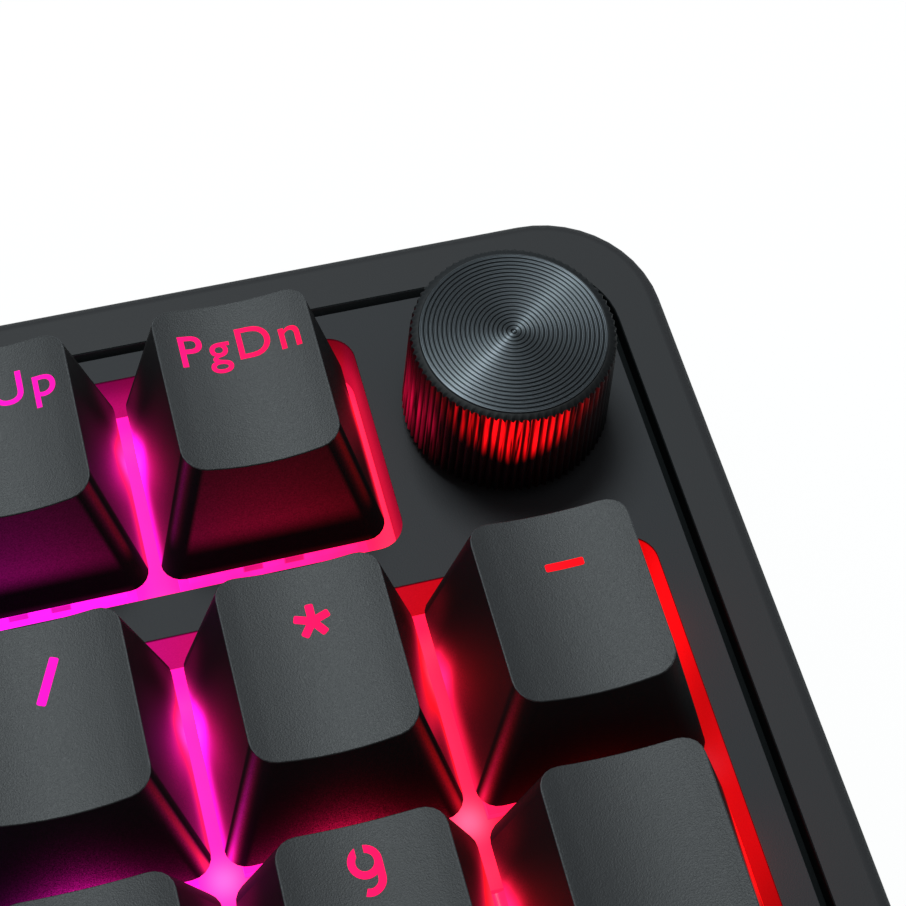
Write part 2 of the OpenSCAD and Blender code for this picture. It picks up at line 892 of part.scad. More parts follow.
module volume_knob() {
    skirt = knob_radius - rib_depth;
    inner = skirt - knob_wall;
    bevel = 0.3;
    rib_top = z_knob_rim - 0.9;
    color([0.09, 0.09, 0.095])
        translate([knob_x, knob_y, 0]) {
            difference() {
                rotate_extrude($fn = 96)
                    polygon([
                        [0, z_hub],
                        [knob_hub, z_hub],
                        [knob_hub, z_knob_hollow],
                        [inner, z_knob_hollow],
                        [inner, z_knob_base],
                        [skirt, z_knob_base],
                        [skirt, z_knob_rim - bevel],
                        [skirt - bevel, z_knob_rim],
                        [disc_radius + shaft_fit, z_knob_rim],
                        [disc_radius + shaft_fit, z_disc],
                        [0, z_disc]
                    ]);
                difference() {
                    translate([0, 0, z_hub - over])
                        cylinder(r = shaft_radius + shaft_fit, h = z_knob_hollow - z_hub + over);
                    translate([flat_offset + shaft_fit, -knob_hub, z_hub - over])
                        cube([knob_hub, 2 * knob_hub, z_knob_hollow - z_hub + 2 * over]);
                }
            }
            for (i = [0:rib_count - 1]) {
                rotate([0, 0, i * 360 / rib_count])
                    translate([skirt - 0.3, -rib_width / 2, z_knob_base + 0.5])
                        cube([rib_depth + 0.3, rib_width, rib_top - z_knob_base - 0.5]);
            }
        }
}

module knob_top_disc() {
    color([0.30, 0.31, 0.32])
        translate([knob_x, knob_y, z_disc])
            cylinder(r = disc_radius, h = disc_thickness, $fn = 96);
}

// The solid that a cap's sides and top bound; trim makes it smaller for the hollow inside
module cap_block(w, d, r, trim_side, trim_top) {
    bottom = trim_side > 0 ? -over : 0;
    rear = rear_height(r) - trim_top;
    front = front_height(r) - trim_top;
    high = max(rear_height(r), front_height(r));
    top = max(rear, front);
    side_top = side_lean * top / high;
    intersection() {
        rotate([90, 0, 0])
            linear_extrude(height = d, center = true)
                polygon([
                    [-w / 2 + trim_side, bottom],
                    [w / 2 - trim_side, bottom],
                    [w / 2 - trim_side - side_top, top],
                    [-w / 2 + trim_side + side_top, top]
                ]);
        rotate([90, 0, 90])
            linear_extrude(height = w, center = true)
                polygon([
                    [-d / 2 + trim_side, bottom],
                    [d / 2 - trim_side, bottom],
                    [d / 2 - trim_side - rear_lean(r), rear],
                    [-d / 2 + trim_side + front_lean(r), front]
                ]);
    }
}

// Cuts the four upright corners of a cap of base w by d
module cap_corner_cuts(w, d, r) {
    size = 24;
    for (sx = [-1, 1], sy = [-1, 1]) {
        lean_y = sy > 0 ? rear_lean(r) : front_lean(r);
        high = sy > 0 ? rear_height(r) : front_height(r);
        slant = atan((side_lean + lean_y) / sqrt(2) / high);
        translate([sx * w / 2, sy * d / 2, 0])
            rotate([0, 0, sx > 0 ? sy * 45 : 180 - sy * 45])
                translate([-corner_cut, 0, 0])
                    rotate([0, -slant, 0])
                        block_ahead(size);
    }
}

module block_ahead(size) {
    translate([0, -size / 2, -size / 4])
        cube([size, size, size]);
}

// The dish: a long cylinder lying along the slope of the top
module cap_dish(w, d, r) {
    front_y = -d / 2 + front_lean(r);
    rear_y = d / 2 - rear_lean(r);
    slope = atan((rear_height(r) - front_height(r)) / (rear_y - front_y));
    chord = w - 2 * side_lean;
    radius = chord * chord / (8 * dish_depth) + dish_depth / 2;
    translate([0, (front_y + rear_y) / 2, (rear_height(r) + front_height(r)) / 2 + radius - dish_depth])
        rotate([slope - 90, 0, 0])
            cylinder(r = radius, h = 2 * d, center = true);
}

function top_height(y, d, r) = front_height(r) + (rear_height(r) - front_height(r))
    * (y + d / 2 - front_lean(r)) / (d - front_lean(r) - rear_lean(r));

// The tube that takes a stem's cross; y is its place in a cap of depth d
module cap_post(y, d, r) {
    bottom = housing_top - cap_base;
    top = top_height(y, d, r) - cap_roof + 0.5;
    difference() {
        translate([0, 0, bottom])
            cylinder(r = post_radius, h = top - bottom);
        for (turn = [0, 90]) {
            rotate([0, 0, turn])
                block(cross_length + 2 * post_fit, (turn == 0 ? cross_thin : cross_thick) + 2 * post_fit,
                    bottom - over, bottom + cross_height + 0.1);
        }
    }
}

module keycap(k) {
    deep = key_deep(k);
    w = k[1] * key_pitch - cap_gap;
    d = deep * key_pitch - cap_gap;
    r = k[2];
    reach = k[1] > 3 ? long_reach : short_reach;
    stabilised = k[1] >= 2 || deep > 1;
    at_key(k)
        translate([0, 0, z_cap]) {
            difference() {
                cap_block(w, d, r, 0, 0);
                cap_block(w, d, r, cap_wall, cap_roof);
                cap_corner_cuts(w, d, r);
                if (k[1] < 3) {
                    cap_dish(w, d, r);
                }
            }
            cap_post(0, d, r);
            if (stabilised && deep == 1) {
                for (side = [-1, 1]) {
                    translate([side * reach, 0, 0])
                        cap_post(0, d, r);
                }
            }
            if (stabilised && deep > 1) {
                for (side = [-1, 1]) {
                    translate([0, side * reach, 0])
                        rotate([0, 0, 90])
                            cap_post(side * reach, d, r);
                }
            }
        }
}

// The bent enter key: a tall block with a wider upper half
module enter_cap() {
    k = enter;
    r = k[2];
    w = k[1] * key_pitch - cap_gap;
    d = 2 * key_pitch - cap_gap;
    wide = enter_wide * key_pitch - cap_gap;
    half = key_pitch - cap_gap;
    shift = -(enter_wide - k[1]) * key_pitch / 2;
    at_key(k)
        translate([0, 0, z_cap]) {
            difference() {
                union() {
                    difference() {
                        cap_block(w, d, r, 0, 0);
                        cap_corner_cuts(w, d, r);
                    }
                    enter_wing(wide, d, half, shift, r, 0, 0);
                }
                cap_block(w, d, r, cap_wall, cap_roof);
                enter_wing(wide, d, half, shift, r, cap_wall, cap_roof);
            }
            cap_post(0, d, r);
            for (side = [-1, 1]) {
                translate([0, side * short_reach, 0])
                    rotate([0, 0, 90])
                        cap_post(side * short_reach, d, r);
            }
        }
}

module enter_wing(wide, d, half, shift, r, trim_side, trim_top) {
    bottom = trim_side > 0 ? -over : 0;
    front_y = d / 2 - half + trim_side;
    lean = front_lean(r);
    difference() {
        translate([shift, 0, 0])
            difference() {
                cap_block(wide, d, r, trim_side, trim_top);
                if (trim_side == 0) {
                    cap_corner_cuts(wide, d, r);
                }
            }
        translate([shift, front_y, bottom])
            rotate([-atan(lean / rear_height(r)), 0, 0])
                translate([-wide, -3 * d, -d])
                    cube([2 * wide, 3 * d, 3 * d]);
    }
}

module cross(z0) {
    block(cross_length, cross_thin, z0, z0 + cross_height);
    block(cross_thick, cross_length, z0, z0 + cross_height);
}

module stem() {
    difference() {
        union() {
            block(slider_x, slider_y, 0, housing_top);
            block(wing_x, wing_y, 0, wing_height);
            cross(housing_top);
        }
        difference() {
            block(recess_x, recess_y, -over, recess_roof);
            block(pole_size, pole_size, pole_bottom, recess_roof + over);
        }
        block(magnet_size + 2 * post_fit, magnet_size + 2 * post_fit, pole_bottom - over,
            pole_bottom + 0.2 + magnet_length);
    }
    block(magnet_size, magnet_size, pole_bottom + 0.1, pole_bottom + 0.1 + magnet_length);
}

// The slider that carries a wide cap's outer post and takes the wire's end
module guide_stem() {
    slot_z = bar_z + key_travel / 2;
    difference() {
        union() {
            block(guide_x, guide_y, guide_bottom, housing_top);
            cross(housing_top);
        }
        translate([0, guide_y / 2, 0])
            block(2 * bar_radius + 2 * slide_fit, guide_y - 1.2, slot_z - slot_half, slot_z + slot_half);
    }
}

module stems(keys) {
    color([0.88, 0.60, 0.22]) {
        at_switches(keys)
            stem();
        for (k = keys) {
            if (k[1] >= 2 || key_deep(k) > 1) {
                at_guides(k)
                    guide_stem();
            }
        }
    }
}

module caps(keys) {
    color([0.24, 0.25, 0.26])
        for (k = keys) {
            keycap(k);
        }
}

module function_row_caps() {
    caps(function_row);
}

module function_row_stems() {
    stems(function_row);
}

module number_row_caps() {
    caps(concat(number_row, [backspace]));
}

module number_row_stems() {
    stems(concat(number_row, [backspace]));
}

module upper_letter_caps() {
    caps(upper_letters);
}

module upper_letter_stems() {
    stems(upper_letters);
}

module home_row_caps() {
    caps(home_row);
    color([0.24, 0.25, 0.26])
        enter_cap();
}

module home_row_stems() {
    stems(concat(home_row, [enter]));
}

module lower_letter_caps() {
    caps(lower_letters);
}

module lower_letter_stems() {
    stems(lower_letters);
}

module bottom_row_caps() {
    caps(concat(bottom_row, [space_bar]));
}

module bottom_row_stems() {
    stems(concat(bottom_row, [space_bar]));
}

module numpad_caps() {
    caps(concat(numpad, [numpad_enter]));
}

module numpad_stems() {
    stems(concat(numpad, [numpad_enter]));
}

module page_up_cap() {
    caps([page_up]);
}

module page_up_stem() {
    stems([page_up]);
}

module page_down_cap() {
    caps([page_down]);
}

module page_down_stem() {
    stems([page_down]);
}

module numpad_divide_cap() {
    caps([divide]);
}

module numpad_divide_stem() {
    stems([divide]);
}

module numpad_multiply_cap() {
    caps([multiply]);
}

module numpad_multiply_stem() {
    stems([multiply]);
}

module numpad_minus_cap() {
    caps([minus]);
}

module numpad_minus_stem() {
    stems([minus]);
}

module numpad_8_cap() {
    caps([eight]);
}

module numpad_8_stem() {
    stems([eight]);
}

module numpad_9_cap() {
    caps([nine]);
}

module numpad_9_stem() {
    stems([nine]);
}

module numpad_plus_cap() {
    caps([plus]);
}

module numpad_plus_stem() {
    stems([plus]);
}

bottom_case();
case_foam();
circuit_board();
plate_foam();
switch_plate();
top_frame();
deck_cover();
switch_bottoms();
switch_tops();
switch_springs();
switch_leds();
hall_sensors();
controller_chips();
usb_socket();
stabiliser_housings();
plate_standoffs();
case_screws();
rubber_feet();
encoder_body();
encoder_rotor();
encoder_shaft();
volume_knob();
knob_top_disc();
left_tilt_foot();
right_tilt_foot();
backspace_wire();
enter_wire();
space_bar_wire();
numpad_plus_wire();
numpad_enter_wire();
function_row_caps();
function_row_stems();
number_row_caps();
number_row_stems();
upper_letter_caps();
upper_letter_stems();
home_row_caps();
home_row_stems();
lower_letter_caps();
lower_letter_stems();
bottom_row_caps();
bottom_row_stems();
numpad_caps();
numpad_stems();
page_up_cap();
page_up_stem();
page_down_cap();
page_down_stem();
numpad_divide_cap();
numpad_divide_stem();
numpad_multiply_cap();
numpad_multiply_stem();
numpad_minus_cap();
numpad_minus_stem();
numpad_8_cap();
numpad_8_stem();
numpad_9_cap();
numpad_9_stem();
numpad_plus_cap();
numpad_plus_stem();
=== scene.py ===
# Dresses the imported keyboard: moulded caps with lit legends, the lit wells round them,
# the ribbed volume knob with its turned disc, and the case.
# Shapes are worked out in millimetres and stored in metres.
import math

import bmesh
import bpy
from mathutils import Matrix, Vector


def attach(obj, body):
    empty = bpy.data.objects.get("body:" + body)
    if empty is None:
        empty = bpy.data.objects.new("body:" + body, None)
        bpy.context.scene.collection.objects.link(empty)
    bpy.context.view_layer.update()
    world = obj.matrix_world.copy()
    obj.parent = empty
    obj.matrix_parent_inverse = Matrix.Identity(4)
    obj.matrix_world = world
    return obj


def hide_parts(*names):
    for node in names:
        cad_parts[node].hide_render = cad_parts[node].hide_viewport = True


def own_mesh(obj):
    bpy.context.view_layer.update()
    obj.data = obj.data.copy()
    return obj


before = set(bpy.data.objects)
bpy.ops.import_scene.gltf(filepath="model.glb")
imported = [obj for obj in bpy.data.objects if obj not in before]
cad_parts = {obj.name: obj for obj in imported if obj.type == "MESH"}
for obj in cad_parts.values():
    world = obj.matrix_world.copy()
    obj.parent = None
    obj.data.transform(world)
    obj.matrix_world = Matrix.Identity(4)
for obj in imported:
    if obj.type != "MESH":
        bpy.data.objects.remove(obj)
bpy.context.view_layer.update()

MM = 0.001

# Layout, as in the CAD; the lamps sit LAMP_BACK behind the key centres
PITCH = 19.05
CAP_GAP = 0.97
HALF_CAP = (PITCH - CAP_GAP) / 2
COLUMNS = 19
BORDER = 8.95
ROW_GAP = 4.95
LAMP_BACK = 5
BODY_D = 6 * PITCH + ROW_GAP + 2 * BORDER
LEFT = -COLUMNS * PITCH / 2
BACK_ROW = BODY_D / 2 - BORDER - PITCH / 2
Z_PLATE = 13.0
Z_DECK = 19.0
Z_CAP = 18.96
Z_KNOB_BASE = 19.8
Z_KNOB_RIM = 30.2
Z_DISC = 29.5
Z_KNOB = 30.3
KNOB_X = LEFT + 18.5 * PITCH + 2.15
KNOB_Y = BACK_ROW + 0.4


def row_y(row):
    return BACK_ROW if row == 0 else BACK_ROW - ROW_GAP - row * PITCH


def key_x(left, wide):
    return LEFT + (left + wide / 2) * PITCH


# ---- shader maths


def maths(operation, swapped=False):
    """A method of Val that adds one maths node; swapped puts the other value first."""

    def method(self, *others):
        return self.paint.math(operation, *((*others, self) if swapped else (self, *others)))

    return method


class Val:
    """A number socket that takes part in Python expressions."""

    def __init__(self, paint, socket):
        self.paint = paint
        self.socket = socket

    __add__ = __radd__ = maths("ADD")
    __mul__ = __rmul__ = maths("MULTIPLY")
    __sub__ = maths("SUBTRACT")
    __rsub__ = maths("SUBTRACT", swapped=True)
    __truediv__ = maths("DIVIDE")
    __rtruediv__ = maths("DIVIDE", swapped=True)
    __abs__ = maths("ABSOLUTE")
    min = maths("MINIMUM")
    max = maths("MAXIMUM")
    fract = maths("FRACT")
    exp = maths("EXPONENT")
    sqrt = maths("SQRT")
    cos = maths("COSINE")

    def __neg__(self):
        return self * -1.0


def length(a, b):
    return (a * a + b * b).sqrt()


def bell(value, spread):
    """1 where the value is 0, falling off to both sides; a larger spread makes it wider."""
    return (-(value * value) / spread).exp()


def from_knob(x, y):
    """A place as x and y from the knob's axis, and its distance from the axis."""
    px = x - KNOB_X
    py = y - KNOB_Y
    return px, py, length(px, py)


class Paint:
    """One material: a Principled surface and the nodes that vary it."""

    def __init__(self, name, color=(0.5, 0.5, 0.5), **constants):
        self.mat = bpy.data.materials.new(name)
        self.mat.use_nodes = True
        self.tree = self.mat.node_tree
        self.tree.nodes.clear()
        self.surface = self.node("ShaderNodeBsdfPrincipled")
        output = self.node("ShaderNodeOutputMaterial")
        self.tree.links.new(self.surface.outputs[0], output.inputs["Surface"])
        self.coords = self.node("ShaderNodeTexCoord").outputs["Object"]
        self.set("Base Color", color)
        for key, value in constants.items():
            self.set(key.replace("_", " "), value)

    def set(self, name, value):
        self.fill(self.surface.inputs[name], value)

    def fill(self, socket, value):
        if isinstance(value, Val):
            value = value.socket
        if isinstance(value, bpy.types.NodeSocket):
            self.tree.links.new(value, socket)
        elif socket.type == "RGBA":
            socket.default_value = (*value, 1.0)
        else:
            socket.default_value = value

    def node(self, kind, settings=(), inputs=()):
        """A node of any type: its settings first, then the values or links of its sockets."""
        node = self.tree.nodes.new(kind)
        for key, value in dict(settings).items():
            setattr(node, key, value)
        for key, value in dict(inputs).items():
            self.fill(node.inputs[key], value)
        return node

    def math(self, operation, *values):
        node = self.node("ShaderNodeMath", {"operation": operation}, dict(enumerate(values)))
        return Val(self, node.outputs[0])

    def split(self, socket):
        parts = self.node("ShaderNodeSeparateXYZ", inputs={0: socket})
        return [Val(self, out) for out in parts.outputs]

    def place(self):
        """Position on the object, in millimetres, as x, y and z."""
        return [value * 1000 for value in self.split(self.coords)]

    def facing(self):
        """The surface's direction as x, y and z."""
        return self.split(self.node("ShaderNodeNewGeometry").outputs["Normal"])

    def attribute(self, name):
        node = self.node("ShaderNodeAttribute", {"attribute_name": name})
        return self.split(node.outputs["Vector"])

    def noise(self, per_mm, detail=2.0, roughness=0.5, stretch=(1, 1, 1)):
        """Noise with per_mm patches to the millimetre, about 0.5 in the middle."""
        scale = [s * 1000 * per_mm for s in stretch]
        scaled = self.node("ShaderNodeMapping", inputs={"Vector": self.coords, "Scale": scale})
        node = self.node(
            "ShaderNodeTexNoise",
            inputs={"Vector": scaled.outputs[0], "Scale": 1.0, "Detail": detail, "Roughness": roughness},
        )
        return Val(self, node.outputs[0])

    def step(self, value, low, high):
        """0 below low, 1 above high, smooth in between; low may be the larger."""
        if low > high:
            return 1 - self.step(value, high, low)
        node = self.node(
            "ShaderNodeMapRange",
            {"interpolation_type": "SMOOTHSTEP"},
            {"Value": value, "From Min": low, "From Max": high},
        )
        return Val(self, node.outputs[0])

    def band(self, value, up, down):
        """1 between two soft edges, each given as where it is 0 and where it is 1."""
        return self.step(value, *up) * self.step(value, *down)

    def ramp(self, value, stops):
        """A colour by value, from stops of (value, colour)."""
        node = self.node("ShaderNodeValToRGB", inputs={0: value})
        elements = node.color_ramp.elements
        for at, color in stops[1:-1]:
            elements.new(at).color = (*color, 1)
        elements[0].position, elements[-1].position = stops[0][0], stops[-1][0]
        elements[0].color = (*stops[0][1], 1)
        elements[-1].color = (*stops[-1][1], 1)
        return node.outputs[0]

    def tint(self, color, strength):
        """A colour times a number."""
        node = self.node("ShaderNodeVectorMath", {"operation": "SCALE"}, {0: color, "Scale": strength})
        return node.outputs[0]

    def add(self, a, b):
        return self.node("ShaderNodeVectorMath", {"operation": "ADD"}, {0: a, 1: b}).outputs[0]

    def base(self, color, shade):
        """The surface's base colour, times a number, which in some materials carries painted light and shade."""
        self.set("Base Color", self.tint(color, shade))

    def lit(self, color):
        """The light that the surface gives off."""
        self.set("Emission Color", color)
        self.set("Emission Strength", 1.0)

    def bump(self, height, distance):
        """Fine relief: height of 0 to 1 stands for this distance in millimetres."""
        node = self.node("ShaderNodeBump", inputs={"Height": height, "Distance": distance * MM})
        self.set("Normal", node.outputs[0])


def linear(*display):
    """A display colour of 0 to 255 as linear light."""
    return tuple(((c / 255 + 0.055) / 1.055) ** 2.4 if c > 10 else c / 255 / 12.92 for c in display)


# ---- light colours

# Colour of the key lights as linear light, by place along X in millimetres: a slow wave that ends in red
WAVE = [
    (-200, (1, 0, 0.6)),
    (-187, (1, 0, 1)),
    (-135, (1, 0.01, 0)),
    (-83, (1, 0.7, 0)),
    (-31, (0, 1, 0.02)),
    (21, (0, 0.8, 1)),
    (73, (0.02, 0, 1)),
    (108, (0.55, 0, 1)),
    (124, (1, 0.008, 0.8)),
    (133, (1, 0.008, 0.5)),
    (140, (1, 0.008, 0.34)),
    (146, (1, 0.008, 0.2)),
    (152, (1, 0.008, 0.11)),
    (159, (1, 0.008, 0.064)),
    (165, (1, 0.007, 0.033)),
    (171, (1, 0.005, 0.012)),
    (180, (1, 0.002, 0.003)),
    (200, (1, 0.001, 0.001)),
]
WAVE_SPAN = 200.0
STOPS = [((x + WAVE_SPAN) / (2 * WAVE_SPAN), color) for x, color in WAVE]


def light_color(paint, x):
    """The lights' colour at x, a number of millimetres."""
    return paint.ramp((x + WAVE_SPAN) / (2 * WAVE_SPAN), STOPS)


# ---- materials


def moulded(name, color, grain=0.02, grain_size=9.0, roughness=0.55, level=0.3):
    """Moulded plastic: an even colour with slow cloudiness, fine grain and a soft sheen."""
    paint = Paint(name, Specular_IOR_Level=level)
    cloud = paint.noise(0.06, 2)
    fine = paint.noise(grain_size, 1)
    shade = 0.9 + 0.14 * cloud + 0.12 * fine
    paint.base(color, shade)
    paint.set("Roughness", roughness - 0.06 + 0.12 * fine)
    paint.bump(fine, grain)
    return paint


def metal(name, color, roughness):
    paint = Paint(name, Metallic=1.0)
    fine = paint.noise(6, 2)
    cloud = paint.noise(0.2, 2)
    paint.base(color, 0.85 + 0.2 * fine + 0.1 * cloud)
    paint.set("Roughness", roughness - 0.08 + 0.16 * fine)
    paint.bump(fine, 0.004)
    return paint


def case_top_paint(name, color):
    """The frame and the deck, with painted shade where the edge turns over and a painted shadow round the knob's
    foot.
    """
    paint = Paint(name, Specular_IOR_Level=0.2)
    x, y, z = paint.place()
    up = paint.facing()[2]
    fine = paint.noise(8, 1)
    cloud = paint.noise(0.03, 2)
    # Painted shade: faces that turn away from level are darker
    flat = paint.step(up, 0.3, 0.97)
    radius = from_knob(x, y)[2]
    # Painted shadow round the knob's foot
    foot = 1 - 0.25 * (-(radius - 8.4).max(0)).exp()
    shade = (0.2 + 0.8 * flat) * foot * (0.88 + 0.12 * cloud + 0.14 * fine)
    paint.base(color, shade)
    paint.set("Roughness", 0.5 + 0.1 * fine)
    paint.bump(fine, 0.01)
    return paint


def groove_paint():
    """The groove round the deck: near black as painted shade, matte, with its back wall, which faces forward,
    painted a little paler.
    """
    paint = Paint("groove_painted_shade", Specular_IOR_Level=0.0, Roughness=0.9)
    fine = paint.noise(8, 1)
    back = paint.step(paint.facing()[1], -0.5, -0.9)
    # Painted shade in the groove, painted a little paler on the walls that face forward
    paint.base((0.009, 0.0105, 0.011), (1 + 13 * back) * (0.8 + 0.4 * fine))
    return paint


def lamp_wave(paint, y, sharp):
    """1 at each row's lamps, falling between the rows by as much as sharp says, from 0 to 1."""
    turns = (y - (row_y(1) + LAMP_BACK)) * (math.tau / PITCH)
    return (0.5 + 0.5 * turns.cos()) * sharp + (1 - sharp)


def slit_shift(paint, x, y):
    """How much further left the light in the open slit behind the number pad takes its colour from."""
    there = paint.band(y - row_y(0), (-12, -11), (-4.5, -5.5))
    return there * paint.band(x, (147, 152), (161.5, 158.5)) * 6


def crossings(paint, radius):
    """Painted bright spots of light where four caps meet, on the column lines of the number pad and the row
    lines.
    """
    x, y, z = paint.place()
    across = (((x - 0.2 - LEFT) / PITCH + 0.5).fract() - 0.5) * PITCH
    main = (((row_y(1) + PITCH / 2 + 1.9 - y) / PITCH + 0.5).fract() - 0.5) * PITCH
    slit = y - (row_y(0) - PITCH / 2 + 0.3)
    in_well = paint.step(y, row_y(1) + 5.2, row_y(1) + 5)
    there = paint.step(x, 60, 90)
    spots = bell(main, radius * radius) * in_well + bell(slit, radius * radius)
    return bell(across, radius * radius) * spots * there


def plate_paint():
    """The white plate under the caps, with the lamps' light on it painted as glow."""
    paint = Paint("lit_plate", color=linear(30, 6, 18), Specular_IOR_Level=0.2, Roughness=0.6)
    x, y, z = paint.place()
    haze = paint.noise(0.25, 2)
    # Painted glow of the lamps' light, with painted bright spots where four caps meet
    color = paint.tint(light_color(paint, x - slit_shift(paint, x, y)), 2.05 + 0.2 * haze)
    painted_light_spot = crossings(paint, 1.35)
    white = paint.tint((0.6, 1.0, 1.7), painted_light_spot * 0.13)
    paint.base((0.02, 0.01, 0.015), 0.6 + 0.8 * haze)
    paint.lit(paint.add(color, white))
    return paint


def well_paint():
    """The walls of the wells, with the light that they catch from the lamps painted on as glow."""
    paint = Paint("lit_well_wall", color=(0.01, 0.005, 0.007), Specular_IOR_Level=0.2, Roughness=0.55)
    x, y, z = paint.place()
    nx, ny, nz = paint.facing()
    behind_pad = paint.step(x, 145, 160) * paint.step(ny, -0.5, -0.9)
    color = light_color(paint, x + 3.4 * nx + 9 * behind_pad)
    grain = paint.noise(7, 1)
    # The painted glow fades out just under the deck's edge
    edge = paint.step(z, Z_DECK - 0.1, Z_DECK - 0.35)
    outer = paint.step(x, 165, 180)
    in_front = paint.step(y, row_y(1) - 5, row_y(1) - 14)
    main = (0.54 + 0.5 * outer) * lamp_wave(paint, y, 0.2 + 0.4 * outer) * (1 - 0.5 * in_front * outer)
    function = paint.step(y, row_y(0) - 9.8, row_y(0) - 9.2)
    behind_keys = 0.12 + 0.3 * paint.step(z, Z_DECK - 0.3, Z_PLATE + 1)
    glow = (main * (1 - function) + behind_keys * function) * (0.85 + 0.3 * grain) * edge
    paint.base((0.02, 0.008, 0.012), 0.6 + 0.8 * grain)
    paint.lit(paint.tint(color, glow))
    return paint


def housing_paint(name, strength, base):
    """Switch housings over the plate, with their light from inside painted on as glow."""
    paint = Paint(name, color=base, Specular_IOR_Level=0.3, Roughness=0.35)
    x, y, z = paint.place()
    nx, ny, nz = paint.facing()
    haze = paint.noise(0.6, 2)
    above = paint.step(z, Z_PLATE - 0.2, Z_PLATE + 0.2)
    from_key = abs(((x - LEFT) / PITCH).fract() - 0.5) * PITCH
    latch = paint.band(from_key, (0.8, 1.0), (2.6, 2.4)) * paint.step(ny, -0.5, -0.9)
    latch = latch * paint.band(z - Z_PLATE, (0.5, 0.6), (1.7, 1.5))
    glow = strength * (0.85 + 0.3 * haze) * above * (1 - 0.66 * latch)
    place = x - 4 - slit_shift(paint, x, y) * 0.5
    paint.base(base, 0.8 + 0.4 * haze)
    paint.lit(paint.tint(light_color(paint, place), glow))
    return paint


def cap_top_paint():
    """The top of a cap: dry, finely grained grey, with a paler painted highlight where the long edges turn over
    and painted shade on the front edge.
    """
    paint = Paint("cap_top", Specular_IOR_Level=0.5)
    nx, ny, nz = paint.facing()
    fine = paint.noise(7.5, 2, 0.75)
    cloud = paint.noise(0.08, 2)
    # Painted highlight along the long edges, and painted shade along the front edge
    edge_highlight = paint.band(length(nx, ny), (0.30, 0.45), (0.80, 0.62)) * paint.step(abs(nx), 0.12, 0.3)
    front = paint.step(ny, -0.25, -0.6) * paint.step(abs(nx), 0.3, 0.15)
    shade = (0.4 + 1.2 * fine) * (0.92 + 0.16 * cloud) * (1 + 2.2 * edge_highlight) * (1 - 0.75 * front)
    paint.base((0.020, 0.0213, 0.0238), shade)
    paint.set("Roughness", 0.38 + 0.24 * fine)
    paint.bump(fine, 0.03)
    return paint


